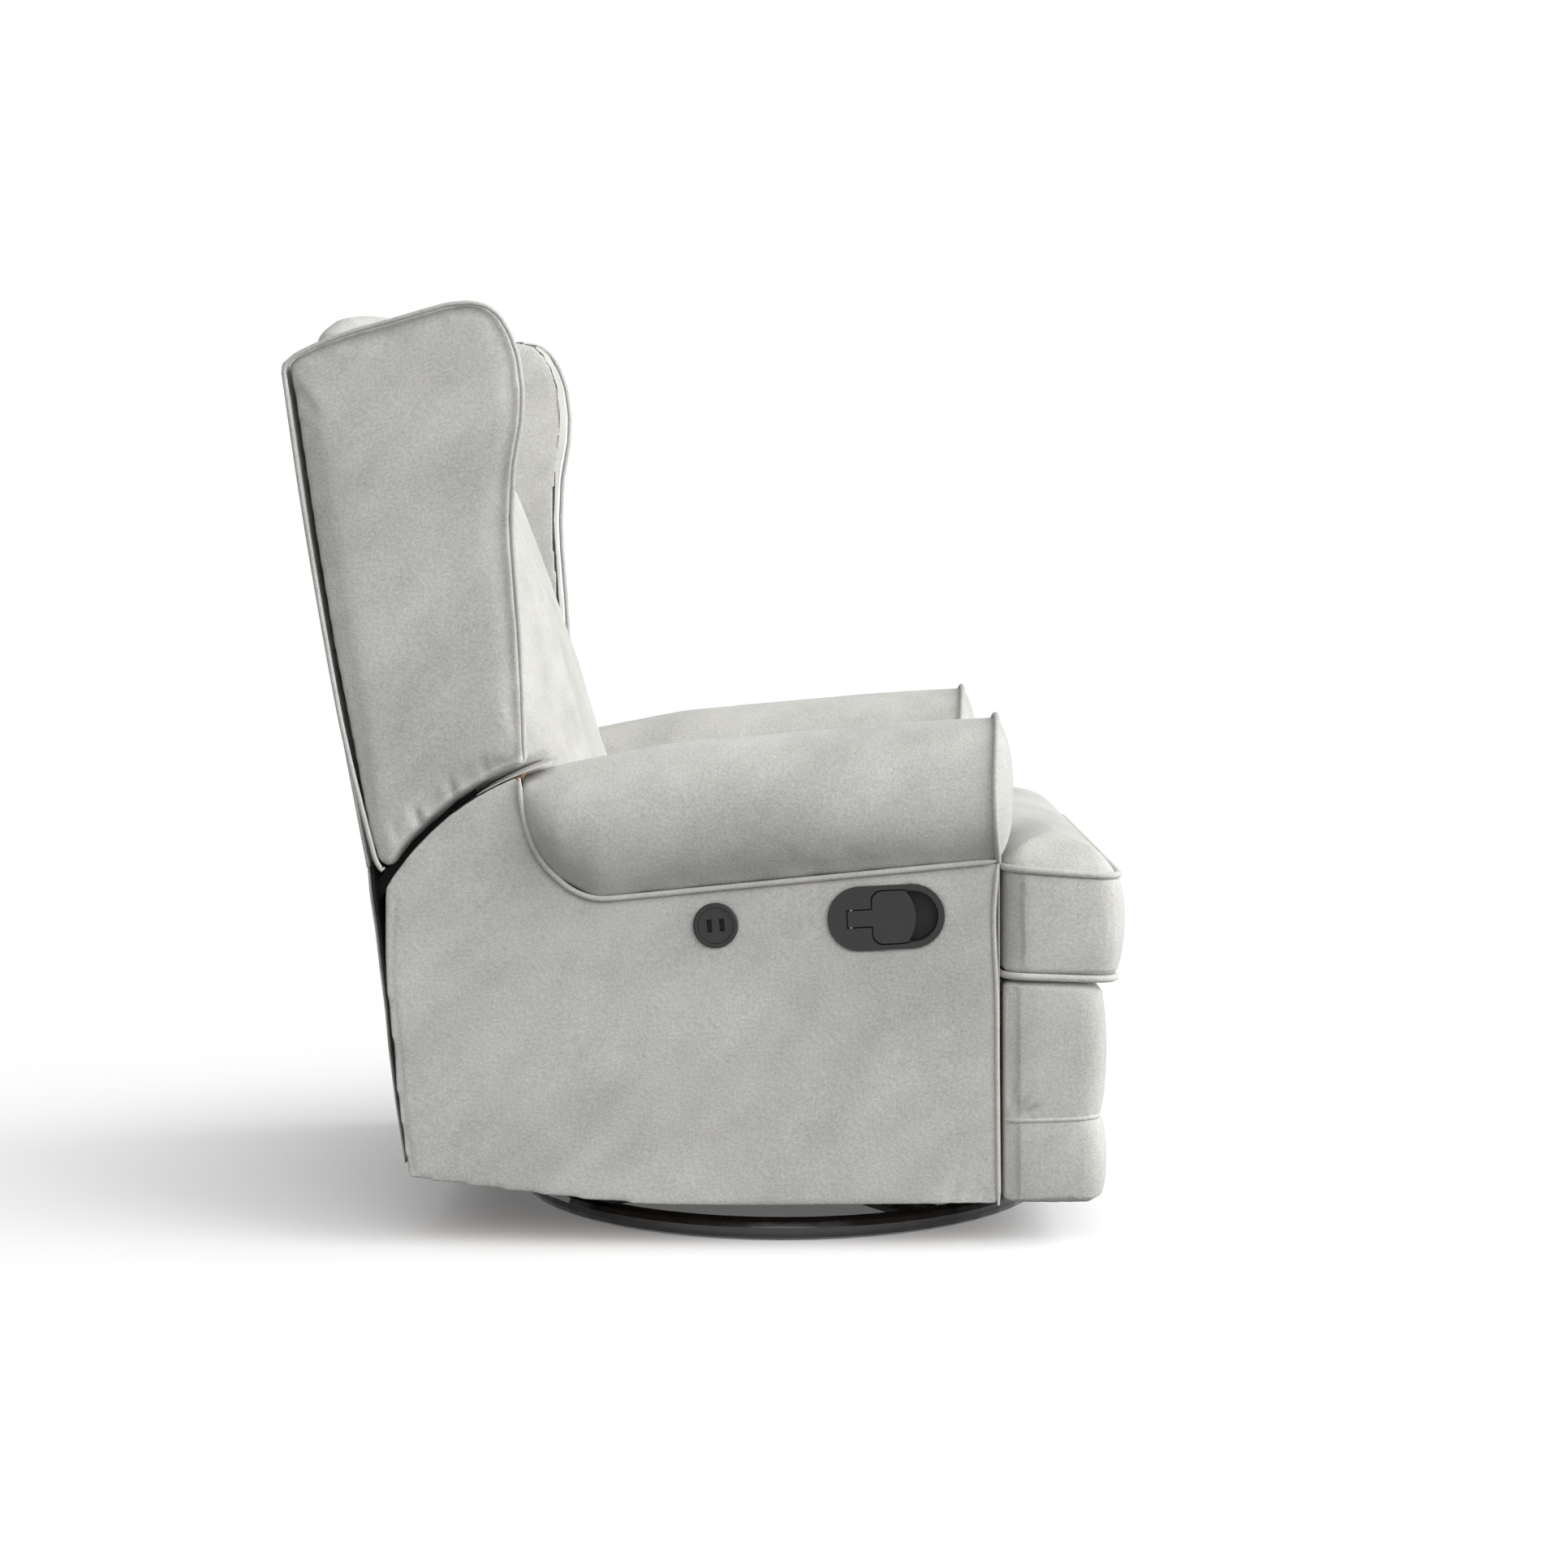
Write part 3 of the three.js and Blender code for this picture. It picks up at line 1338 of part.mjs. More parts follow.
function backCushion() {
  const count = 20;
  const ringAt = ([frontShare, rear, z, width, drawShare]) => {
    const half = (backHalfWidth - fitGap - wingPuff / 2) * width;
    const front = frontShare * chairDepth;
    const draw = drawShare * chairDepth;
    const ring = [];
    for (let i = 0; i < count; i += 1) {
      const angle = ((i + 0.5) * 2 * Math.PI) / count;
      const across = Math.sign(Math.cos(angle)) * Math.abs(Math.cos(angle)) ** 0.5;
      const deep = Math.sign(Math.sin(angle)) * Math.abs(Math.sin(angle)) ** 0.5;
      const edge = Math.abs(across) ** 3;
      const middle = (front + rear) / 2;
      const f = deep > 0 ? blendValue(middle, front - draw * edge, deep) : blendValue(middle, rear, -deep);
      ring.push(at(half * across, f, z));
    }
    return ring;
  };
  const rows = backCushionShares.map(([front, height, width, draw]) => {
    const z = blendValue(backCushionFootZ, backFrameTopZ, height);
    return [front, backFaceF(z) + frameOffset + backFrameDepth + runningGap, z, width, draw];
  });
  const crest = backCrestShares.map(([front, rear, height, width, draw]) => {
    const z = backFrameTopZ + crestRise * height;
    return [front, backFaceF(z) + crestRise * rear, z, width, draw];
  });
  const block = loft([...rows, ...crest].map(ringAt));
  const armClearance = [-1, 1].map((side) => discAcross(
    sideRange(side, backLowerHalfWidth, bodyHalfWidth),
    reclineF,
    reclineZ,
    wingArcRadius,
    24,
  ));
  piece('back_cushion', cut(block, ...armClearance), suede);
}

// Cloth strip that closes the slot between the outside back and the body
const tailShares = [
  [1.0389, 1.0613],
  [1.0332, 0.9849],
  [1.0241, 0.9122],
  [1.0129, 0.8041],
  [0.9992, 0.6959],
  [0.9883, 0.5905],
  [0.9735, 0.4128],
  [0.9546, 0.2264],
];
const tailThickness = 2.5;
const tailInset = 24;
const tailHalfWidth = bodyHalfWidth - tailInset;

function backTail() {
  const rear = behindShoulder(tailShares);
  const front = rear.map(([f, z]) => [f + tailThickness, z]).reverse();
  piece('back_tail', plate(outline([...rear, ...front]), [-tailHalfWidth, tailHalfWidth]), suede);
}

// Latch: oval bezel let into the right side panel, with a finger paddle inlaid on an upright pin

function tiltedAboutLatch(points) {
  const angle = THREE.MathUtils.degToRad(latchTiltDegrees);
  return points.map(([df, dz]) => [
    latchF + df * Math.cos(angle) - dz * Math.sin(angle),
    latchZ + df * Math.sin(angle) + dz * Math.cos(angle),
  ]);
}

function paddleOutline(grow) {
  const tabEnd = paddleAxisF - latchF - paddleThickness / 2 - grow;
  const shoulder = paddleAxisF - latchF + paddleTabLength - grow;
  const halfTab = paddleTabHeight / 2 + grow;
  const halfPaddle = paddleHeight / 2 + grow;
  const bow = paddleFront - latchF + grow - shoulder;
  const corner = paddleCornerRadius;
  const roundAt = (way) => [0, 0.3, 0.7, 1].map((share) => {
    const angle = (share * Math.PI) / 2;
    return [
      shoulder + corner * (1 - Math.sin(angle)),
      way * (halfPaddle - corner * (1 - Math.cos(angle))),
    ];
  });
  const edge = paddleEdgeShares.map(([reach, height]) => [shoulder + bow * reach, halfPaddle * height]);
  return outline(tiltedAboutLatch([
    [tabEnd, -halfTab],
    [shoulder, -halfTab],
    ...roundAt(-1).reverse(),
    ...edge,
    ...roundAt(1),
    [shoulder, halfTab],
    [tabEnd, halfTab],
  ]));
}

function latch() {
  const outerFace = -bodyHalfWidth;
  const face = outerFace - latchProud;
  const paddleX = [face + latchReveal, face + latchReveal + paddleThickness];
  const pocketFloor = paddleX[1] + linkGap;
  const cupFloor = outerFace + latchRecess - latchWall;
  const cupFrom = paddleFront - paddleCornerRadius * 2;
  const rim = plate(
    obround(latchF, latchZ, latchLength, latchHeight, latchTiltDegrees),
    [face, outerFace - fitGap],
  );
  const oval = (inset, xRange) => plate(
    obround(latchF, latchZ, latchPocketLength - inset, latchPocketHeight - inset, latchTiltDegrees),
    xRange,
  );
  const rearPart = box(
    [pocketFloor + latchWall, outerFace + latchRecess + cutOverrun],
    [latchF - latchLength, cupFrom - latchWall],
    [latchZ - latchHeight, latchZ + latchHeight],
  );
  const hollowOval = oval(2 * latchWall, [face - cutOverrun, cupFloor]);
  const rearHalf = box(
    [face - cutOverrun, outerFace + latchRecess + cutOverrun],
    [latchF - latchLength, cupFrom],
    [latchZ - latchHeight, latchZ + latchHeight],
  );
  const pocket = plate(paddleOutline(paddleGap), [face - cutOverrun, pocketFloor]);
  const tabHalf = paddleTabHeight / 2 + paddleGap;
  const pinX = (paddleX[0] + paddleX[1]) / 2;
  const pinRadius = paddleThickness / 4;
  const pinZ = tiltedAboutLatch([[paddleAxisF - latchF, 0]])[0][1];
  const swingRoom = box(
    [face + latchReveal + linkGap, pocketFloor + linkGap / 2],
    [paddleAxisF - paddleThickness, paddleAxisF + paddleThickness],
    [pinZ - tabHalf, pinZ + tabHalf],
  );
  const uprightPin = (radius, length) => {
    const rod = new THREE.CylinderGeometry(radius, radius, length, 10);
    rod.rotateX(Math.PI / 2);
    rod.translate(pinX, -paddleAxisF, pinZ);
    return rod;
  };
  const pinLength = paddleTabHeight + 4 * latchWall;
  const pinBore = uprightPin(pinRadius + fitGap, pinLength + linkGap / 2);
  const shell = cut(join(rim, oval(0, [face, outerFace + latchRecess])), rearPart);
  const cup = cut(hollowOval, rearHalf);
  piece('latch_bezel', cut(shell, cup, pocket, swingRoom, pinBore), charcoal);
  piece('latch_paddle', cut(plate(paddleOutline(0), paddleX), pinBore), charcoal);
  piece('paddle_pin', uprightPin(pinRadius, pinLength), brightSteel);
}

// Charging socket: bevelled bezel round a block with two slots and an inlet behind

function chargingSocket() {
  const outerFace = -bodyHalfWidth;
  const bevel = socketProud / 2;
  const bezel = revolve([
    [socketBlockRadius + fitGap, fitGap],
    [socketBezelRadius, fitGap],
    [socketBezelRadius, socketProud - bevel],
    [socketBezelRadius - bevel, socketProud],
    [socketBlockRadius + fitGap, socketProud],
    [socketBlockRadius + fitGap, fitGap],
  ], 32);
  bezel.rotateY(-Math.PI / 2);
  bezel.translate(outerFace, -socketF, socketZ);
  piece('usb_bezel', bezel, charcoal);
  const faceX = outerFace - socketProud / 2;
  const body = discAcross([faceX, faceX + socketBlockDepth], socketF, socketZ, socketBlockRadius, 14);
  const slots = [-1, 1].map((way) => {
    const slot = new THREE.BoxGeometry(2 * socketSlotDepth, socketSlotWidth, socketSlotHeight);
    slot.translate(0, way * (socketSlotSpacing / 2), 0);
    slot.rotateX(THREE.MathUtils.degToRad(-socketTiltDegrees));
    slot.translate(faceX, -socketF, socketZ);
    return slot;
  });
  const backX = faceX + socketBlockDepth;
  const inlet = discAcross(
    [backX - socketSlotDepth, backX + cutOverrun],
    socketF,
    socketZ - socketBlockRadius / 2,
    socketInletRadius,
  );
  piece('usb_socket_block', cut(body, ...slots, inlet), charcoal);
}

// Bowden cable from the latch cup through the arm box to the mechanism plate

const cableShares = [
  [0, 0, 0],
  [0.08, 0, 0],
  [0.2, 0.3, 0.17],
  [0.24, 0.68, 0.47],
  [0.27, 0.92, 0.74],
  [0.37, 1, 0.93],
  [0.52, 1, 1],
  [0.73, 1, 1],
  [1, 1, 1],
];

function releaseCable() {
  const latchEnd = -bodyHalfWidth + latchRecess + fitGap;
  const points = cableShares.map(([across, forward, down]) => at(
    blendValue(latchEnd, -plateOuterX - fitGap, across),
    blendValue(paddleFront - paddleCornerRadius, cableClampF, forward),
    blendValue(latchZ, cableClampZ, down),
  ));
  piece('release_cable', new THREE.ExtrudeGeometry(circle(cableRadius), {
    steps: 30,
    curveSegments: 4,
    bevelEnabled: false,
    extrudePath: new THREE.CatmullRomCurve3(points, false, 'centripetal'),
  }), blackSheath);
}

baseRing();
baseCross();
race('hub_race_lower', lowerRaceZ + raceHeight, lowerRaceZ);
ballCage();
race('hub_race_upper', upperRaceZ, upperRaceZ + raceHeight);
kingBolt();
gliderFrame();
hangers();
carriageFrame();
mechanismPlates();
footrestLinks();
seatRails();
seatSprings();
armFrames();
sidePanels();
armRolls();
armFronts();
seatCushion();
footrest();
backFrame();
backBrackets();
backPanel();
wings();
backCushion();
backTail();
latch();
chargingSocket();
releaseCable();

export default chair;
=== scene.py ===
import math

import bmesh
import bpy
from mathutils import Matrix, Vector
from mathutils.kdtree import KDTree


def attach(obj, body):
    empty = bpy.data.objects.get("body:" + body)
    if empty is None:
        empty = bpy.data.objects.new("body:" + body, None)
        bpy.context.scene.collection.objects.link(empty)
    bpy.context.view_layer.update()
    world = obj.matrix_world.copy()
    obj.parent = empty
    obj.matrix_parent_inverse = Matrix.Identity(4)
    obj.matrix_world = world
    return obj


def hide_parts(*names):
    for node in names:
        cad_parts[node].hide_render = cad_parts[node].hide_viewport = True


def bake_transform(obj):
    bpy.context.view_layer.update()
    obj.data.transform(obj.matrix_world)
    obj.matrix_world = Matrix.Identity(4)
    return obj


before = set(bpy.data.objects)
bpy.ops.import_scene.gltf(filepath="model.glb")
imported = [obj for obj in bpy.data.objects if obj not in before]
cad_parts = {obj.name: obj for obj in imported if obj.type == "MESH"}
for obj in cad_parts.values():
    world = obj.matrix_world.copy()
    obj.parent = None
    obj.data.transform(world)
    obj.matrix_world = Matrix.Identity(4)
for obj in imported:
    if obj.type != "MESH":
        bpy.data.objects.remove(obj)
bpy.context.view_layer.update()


# Camera. It looks level and square on the sitter's right side of the chair, from
# the height of the wing's middle, with the lens shifted down as far as the picture asks.
camera_distance = 3.5
camera_height = 0.790
swivel_y = -0.089
photo_width = 1932
photo_focal = 3506
photo_horizon = 659.3

camera_lens = bpy.data.cameras.new("side_camera")
camera_lens.sensor_width = 36.0
camera_lens.lens = 36.0 * photo_focal / photo_width
camera = bpy.data.objects.new("side_camera", camera_lens)
camera.location = (-camera_distance, swivel_y, camera_height)
camera.rotation_euler = (math.radians(90.0), 0.0, math.radians(-90.0))
camera_lens.shift_y = photo_horizon / photo_width - 0.5
bpy.context.collection.objects.link(camera)
bpy.context.scene.camera = camera
bpy.context.scene.view_settings.view_transform = "Standard"


# Studio. A pale floor that keeps the chair's shadow close to the chair, with painted light that
# fades the shadow further out, a white surround, one soft high light from the front and a weaker
# one from the camera's side.
floor_white = 0.98
floor_bounce = 0.25


def nodes_of(material):
    material.use_nodes = True
    tree = material.node_tree
    tree.nodes.clear()
    return tree


def node(tree, kind, **settings):
    made = tree.nodes.new(kind)
    for name, value in settings.items():
        setattr(made, name, value)
    return made


def seen_directly(tree):
    path = node(tree, "ShaderNodeLightPath")
    either = node(tree, "ShaderNodeMath", operation="MAXIMUM")
    any_of = node(tree, "ShaderNodeMath", operation="MAXIMUM")
    tree.links.new(path.outputs["Is Camera Ray"], either.inputs[0])
    tree.links.new(path.outputs["Is Glossy Ray"], either.inputs[1])
    tree.links.new(either.outputs[0], any_of.inputs[0])
    tree.links.new(path.outputs["Is Transmission Ray"], any_of.inputs[1])
    return any_of.outputs[0]


floor_paint = bpy.data.materials.new("pale_floor")
tree = nodes_of(floor_paint)
seen = seen_directly(tree)
tone = node(tree, "ShaderNodeMix", data_type="RGBA")
tone.inputs["A"].default_value = (floor_bounce, floor_bounce, floor_bounce, 1.0)
tone.inputs["B"].default_value = (floor_white, floor_white, floor_white, 1.0)
matt = node(tree, "ShaderNodeBsdfDiffuse")
out = node(tree, "ShaderNodeOutputMaterial")
tree.links.new(seen, tone.inputs["Factor"])
tree.links.new(tone.outputs["Result"], matt.inputs["Color"])
# Painted light: a white glow, seen only by camera, glossy and transmission rays, grows with
# distance from the origin near the chair and fades the chair's shadow further out.
where = node(tree, "ShaderNodeNewGeometry")
from_chair = node(tree, "ShaderNodeVectorMath", operation="LENGTH")
painted_shadow_fade = node(tree, "ShaderNodeMapRange", interpolation_type="SMOOTHSTEP")
for socket, amount in zip(("From Min", "From Max", "To Min", "To Max"), (0.30, 1.35, 0.10, 0.9)):
    painted_shadow_fade.inputs[socket].default_value = amount
painted_glow_share = node(tree, "ShaderNodeMath", operation="MULTIPLY")
painted_floor_glow = node(tree, "ShaderNodeEmission")
floor_and_painted_glow = node(tree, "ShaderNodeMixShader")
tree.links.new(where.outputs["Position"], from_chair.inputs[0])
tree.links.new(from_chair.outputs["Value"], painted_shadow_fade.inputs["Value"])
tree.links.new(painted_shadow_fade.outputs["Result"], painted_glow_share.inputs[0])
tree.links.new(seen, painted_glow_share.inputs[1])
tree.links.new(painted_glow_share.outputs[0], floor_and_painted_glow.inputs[0])
tree.links.new(matt.outputs[0], floor_and_painted_glow.inputs[1])
tree.links.new(painted_floor_glow.outputs[0], floor_and_painted_glow.inputs[2])
tree.links.new(floor_and_painted_glow.outputs[0], out.inputs["Surface"])

floor_mesh = bpy.data.meshes.new("studio_floor")
floor_mesh.from_pydata([(-30, -30, 0), (30, -30, 0), (30, 30, 0), (-30, 30, 0)], [], [(0, 1, 2, 3)])
floor = bpy.data.objects.new("studio_floor", floor_mesh)
floor.data.materials.append(floor_paint)
bpy.context.collection.objects.link(floor)

world = bpy.data.worlds.new("white_surround")
bpy.context.scene.world = world
world.use_nodes = True
tree = world.node_tree
tree.nodes.clear()
seen = seen_directly(tree)
around = node(tree, "ShaderNodeBackground")
around.inputs["Strength"].default_value = 0.34
white = node(tree, "ShaderNodeBackground")
white.inputs["Strength"].default_value = 1.0
both = node(tree, "ShaderNodeMixShader")
out = node(tree, "ShaderNodeOutputWorld")
for background in (around, white):
    background.inputs["Color"].default_value = (1.0, 1.0, 1.0, 1.0)
tree.links.new(seen, both.inputs[0])
tree.links.new(around.outputs[0], both.inputs[1])
tree.links.new(white.outputs[0], both.inputs[2])
tree.links.new(both.outputs[0], out.inputs["Surface"])


def soft_light(name, towards, strength, spread):
    lamp = bpy.data.lights.new(name, "SUN")
    lamp.energy = strength
    lamp.angle = math.radians(spread)
    held = bpy.data.objects.new(name, lamp)
    held.rotation_euler = Vector(towards).to_track_quat("-Z", "Y").to_euler()
    bpy.context.collection.objects.link(held)


soft_light("front_light", (0.26, 1.2, -0.56), 4.3, 62)
soft_light("camera_side_light", (0.85, 0.05, -0.65), 1.3, 60)


# Shared measures. The chair's side outlines are read as (x, f, z) in millimetres,
# where f is the distance in front of the swivel axis.
def at(x, f, z):
    return Vector((x / 1000, -(f / 1000) + swivel_y, z / 1000))


def f_of(point):
    return -(point.y - swivel_y) * 1000


# Base ring and cross. Bent steel tube and pressed flat arms, welded together
# and coated in black gloss enamel.
def surface(name, colour, roughness, metallic=0.0):
    material = bpy.data.materials.new(name)
    tree = nodes_of(material)
    shader = node(tree, "ShaderNodeBsdfPrincipled")
    shader.inputs["Base Color"].default_value = (*colour, 1.0)
    shader.inputs["Roughness"].default_value = roughness
    shader.inputs["Metallic"].default_value = metallic
    out = node(tree, "ShaderNodeOutputMaterial")
    place = node(tree, "ShaderNodeTexCoord")
    tree.links.new(shader.outputs[0], out.inputs["Surface"])
    return material, tree, shader, place.outputs["Object"]


def noise(tree, place, scale, detail=3.0, roughness=0.5, stretch=(1, 1, 1), turn=(0, 0, 0)):
    mapping = node(tree, "ShaderNodeMapping", vector_type="TEXTURE")
    mapping.inputs["Scale"].default_value = stretch
    mapping.inputs["Rotation"].default_value = turn
    grain = node(tree, "ShaderNodeTexNoise")
    grain.inputs["Scale"].default_value = scale
    grain.inputs["Detail"].default_value = detail
    grain.inputs["Roughness"].default_value = roughness
    tree.links.new(place, mapping.inputs["Vector"])
    tree.links.new(mapping.outputs[0], grain.inputs["Vector"])
    return grain.outputs["Fac"]


def between(tree, value, low, high, first, second):
    spread = node(tree, "ShaderNodeMapRange")
    for socket, amount in zip(
        ("From Min", "From Max", "To Min", "To Max"), (low, high, first, second)
    ):
        spread.inputs[socket].default_value = amount
    tree.links.new(value, spread.inputs["Value"])
    return spread.outputs["Result"]


def shades(tree, value, dark, light):
    mix = node(tree, "ShaderNodeMix", data_type="RGBA")
    mix.inputs["A"].default_value = (*dark, 1.0)
    mix.inputs["B"].default_value = (*light, 1.0)
    tree.links.new(value, mix.inputs["Factor"])
    return mix.outputs["Result"]


def bumped(tree, shader, value, depth, strength=1.0, before=None):
    bump = node(tree, "ShaderNodeBump")
    bump.inputs["Distance"].default_value = depth
    bump.inputs["Strength"].default_value = strength
    tree.links.new(value, bump.inputs["Height"])
    if before is not None:
        tree.links.new(before, bump.inputs["Normal"])
    tree.links.new(bump.outputs[0], shader.inputs["Normal"])
    return bump.outputs[0]


def finish_with(material, *names):
    for name in names:
        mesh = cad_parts[name].data
        mesh.materials.clear()
        mesh.materials.append(material)


def gloss_enamel():
    material, tree, shader, place = surface("gloss_enamel", (0.008, 0.008, 0.009), 0.2)
    shader.inputs["Coat Weight"].default_value = 0.5
    shader.inputs["Coat Roughness"].default_value = 0.08
    wear = noise(tree, place, 40.0, 4.0)
    tree.links.new(between(tree, wear, 0.3, 0.7, 0.14, 0.3), shader.inputs["Roughness"])
    tree.links.new(
        shades(
            tree, between(tree, wear, 0.35, 0.75, 0.0, 1.0), (0.006, 0.006, 0.007),
            (0.012, 0.012, 0.013)
        ),
        shader.inputs["Base Color"],
    )
    bumped(tree, shader, noise(tree, place, 380.0, 2.0), 0.0002, 0.25)
    return material


enamel = gloss_enamel()
finish_with(enamel, "base_ring", "base_cross")


# Bearing, glide frame, hangers and carriage. Pressed and welded steel in satin
# black paint; the rods, the bolt and the springs are left bright.
def satin_paint():
    material, tree, shader, place = surface("satin_paint", (0.045, 0.047, 0.05), 0.42)
    patches = noise(tree, place, 25.0, 5.0)
    tree.links.new(between(tree, patches, 0.3, 0.7, 0.34, 0.56), shader.inputs["Roughness"])
    tree.links.new(
        shades(
            tree, between(tree, patches, 0.3, 0.7, 0.0, 1.0), (0.036, 0.038, 0.041),
            (0.054, 0.056, 0.06)
        ),
        shader.inputs["Base Color"],
    )
    bumped(tree, shader, noise(tree, place, 900.0, 2.0), 0.0003, 0.35)
    return material


def bright_steel():
    material, tree, shader, place = surface("bright_steel", (0.46, 0.47, 0.48), 0.3, 1.0)
    drawn = noise(tree, place, 500.0, 3.0, 0.6, (20, 1, 1))
    tree.links.new(between(tree, drawn, 0.3, 0.7, 0.24, 0.42), shader.inputs["Roughness"])
    tree.links.new(
        shades(
            tree, between(tree, drawn, 0.3, 0.7, 0.0, 1.0), (0.40, 0.41, 0.42), (0.52, 0.53, 0.54)
        ),
        shader.inputs["Base Color"],
    )
    bumped(tree, shader, drawn, 0.0002, 0.3)
    return material


paint = satin_paint()
steel = bright_steel()
finish_with(paint, "hub_race_lower", "hub_race_upper", "glider_frame", "carriage_frame")
finish_with(
    steel, "ball_cage", "king_bolt", "hanger_rod_front", "hanger_rod_rear", "footrest_torque_tube"
)
finish_with(steel, *(f"seat_spring_{number}" for number in range(1, 5)))
for side in ("left", "right"):
    finish_with(paint, f"hanger_front_{side}", f"hanger_rear_{side}", f"mechanism_plate_{side}")
    finish_with(
        paint, f"drive_link_{side}", f"rear_link_{side}", f"carrier_link_{side}",
        f"control_link_{side}"
    )
    finish_with(paint, f"footrest_bracket_{side}", f"back_bracket_{side}")


# Wooden frame. Rails, arm boxes, the back's frame and the footrest board are
# cut from birch plywood, with its plies showing on the edges.
def plywood():
    material, tree, shader, place = surface("birch_plywood", (0.43, 0.25, 0.11), 0.62)
    figure = noise(tree, place, 14.0, 5.0, 0.6, (1.0, 5.0, 0.7))
    plies = node(tree, "ShaderNodeTexWave", wave_type="BANDS", bands_direction="Z")
    plies.inputs["Scale"].default_value = 95.0
    plies.inputs["Distortion"].default_value = 0.6
    tree.links.new(place, plies.inputs["Vector"])
    blend = node(tree, "ShaderNodeMath", operation="MULTIPLY_ADD")
    blend.inputs[1].default_value = 0.12
    tree.links.new(plies.outputs["Fac"], blend.inputs[0])
    tree.links.new(figure, blend.inputs[2])
    tree.links.new(
        shades(
            tree, between(tree, blend.outputs[0], 0.35, 0.85, 0.0, 1.0), (0.33, 0.18, 0.075),
            (0.56, 0.36, 0.18)
        ),
        shader.inputs["Base Color"],
    )
    tree.links.new(between(tree, figure, 0.3, 0.7, 0.55, 0.72), shader.inputs["Roughness"])
    bumped(tree, shader, blend.outputs[0], 0.0004, 0.4)
    return material


birch = plywood()
finish_with(birch, "front_rail", "rear_rail", "body_rear_rail", "footrest_board", "back_frame")
finish_with(birch, "arm_frame_left", "arm_frame_right")


# Suede cover. A brushed microfibre in pale warm grey: cloudy where the nap lies
# both ways, with a fine pebbled grain and a light sheen at its edges.
def suede_cloth():
    material, tree, shader, place = surface("suede_cover", (0.46, 0.46, 0.435), 0.88)
    shader.inputs["Sheen Weight"].default_value = 0.22
    shader.inputs["Sheen Roughness"].default_value = 0.45
    shader.inputs["Specular IOR Level"].default_value = 0.22
    lean = (math.radians(-42), 0, 0)
    clouds = noise(tree, place, 8.5, 3.0, 0.55, (1.0, 1.9, 1.0), lean)
    wisps = noise(tree, place, 30.0, 4.0, 0.6, (1.0, 1.7, 1.0), lean)
    pebble = noise(tree, place, 520.0, 2.0, 0.55, (1.0, 2.6, 1.0), lean)
    fibre = noise(tree, place, 1300.0, 2.0)
    cloudy = node(tree, "ShaderNodeMath", operation="MULTIPLY_ADD")
    cloudy.inputs[1].default_value = 0.42
    tree.links.new(wisps, cloudy.inputs[0])
    tree.links.new(clouds, cloudy.inputs[2])
    flecked = node(tree, "ShaderNodeMath", operation="MULTIPLY_ADD")
    flecked.inputs[1].default_value = 0.9
    tree.links.new(pebble, flecked.inputs[0])
    tree.links.new(cloudy.outputs[0], flecked.inputs[2])
    tree.links.new(
        shades(
            tree, between(tree, flecked.outputs[0], 0.80, 1.52, 0.0, 1.0), (0.358, 0.354, 0.335),
            (0.572, 0.566, 0.541)
        ),
        shader.inputs["Base Color"],
    )
    tree.links.new(between(tree, clouds, 0.3, 0.7, 0.82, 0.94), shader.inputs["Roughness"])
    rough = bumped(tree, shader, pebble, 0.0016, 0.6)
    bumped(tree, shader, fibre, 0.0005, 0.3, before=rough)
    return material


suede = suede_cloth()
piping_radius = 3.3


def piece_from(name, mesh, material=None):
    made = bpy.data.objects.new(name, mesh)
    bpy.context.collection.objects.link(made)
    if material is not None:
        mesh.materials.clear()
        mesh.materials.append(material)
    return made


def settle(piece):
    graph = bpy.context.evaluated_depsgraph_get()
    shaped = bpy.data.meshes.new_from_object(piece.evaluated_get(graph))
    piece.modifiers.clear()
    spent = piece.data
    piece.data = shaped
    bpy.data.meshes.remove(spent)


def foam_from(name, cad_name, weave, slack=0.0):
    """A closed skin in even squares over the solid, pulled in by slack."""
    piece = piece_from(name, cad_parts[cad_name].data.copy())
    skin = piece.modifiers.new("skin", "REMESH")
    skin.mode = "VOXEL"
    skin.voxel_size = weave
    skin.adaptivity = 0.0
    settle(piece)
    ease(piece, 4)
    if slack:
        for vertex, normal in zip(
            piece.data.vertices, [n.vector.copy() for n in piece.data.vertex_normals]
        ):
            vertex.co -= normal * slack
    return piece


def ease(piece, times, amount=0.5):
    smoother = piece.modifiers.new("ease", "SMOOTH")
    smoother.factor = amount
    smoother.iterations = times
    settle(piece)


def swell(piece, pressure, cap, held=None):
    """The cover blown out by its foam, each point moving no further than cap."""
    start = [vertex.co.copy() for vertex in piece.data.vertices]
    cloth = piece.modifiers.new("cover", "CLOTH")
    if held is not None:
        group = piece.vertex_groups.new(name="held")
        for vertex in piece.data.vertices:
            if held(vertex.co):
                group.add([vertex.index], 1.0, "REPLACE")
        cloth.settings.vertex_group_mass = "held"
    cloth.settings.quality = 4
    cloth.settings.mass = 0.3
    cloth.settings.tension_stiffness = 12
    cloth.settings.compression_stiffness = 12
    cloth.settings.shear_stiffness = 6
    cloth.settings.bending_stiffness = 0.6
    cloth.settings.use_pressure = True
    cloth.settings.uniform_pressure_force = pressure
    cloth.settings.effector_weights.gravity = 0
    cloth.point_cache.frame_start = 1
    cloth.point_cache.frame_end = 20
    for step in range(1, 21):
        bpy.context.scene.frame_set(step)
    settle(piece)
    bpy.context.scene.frame_set(1)
    piece.vertex_groups.clear()
    for vertex, before in zip(piece.data.vertices, start):
        move = vertex.co - before
        if move.length > cap:
            vertex.co = before + move * (cap / move.length)


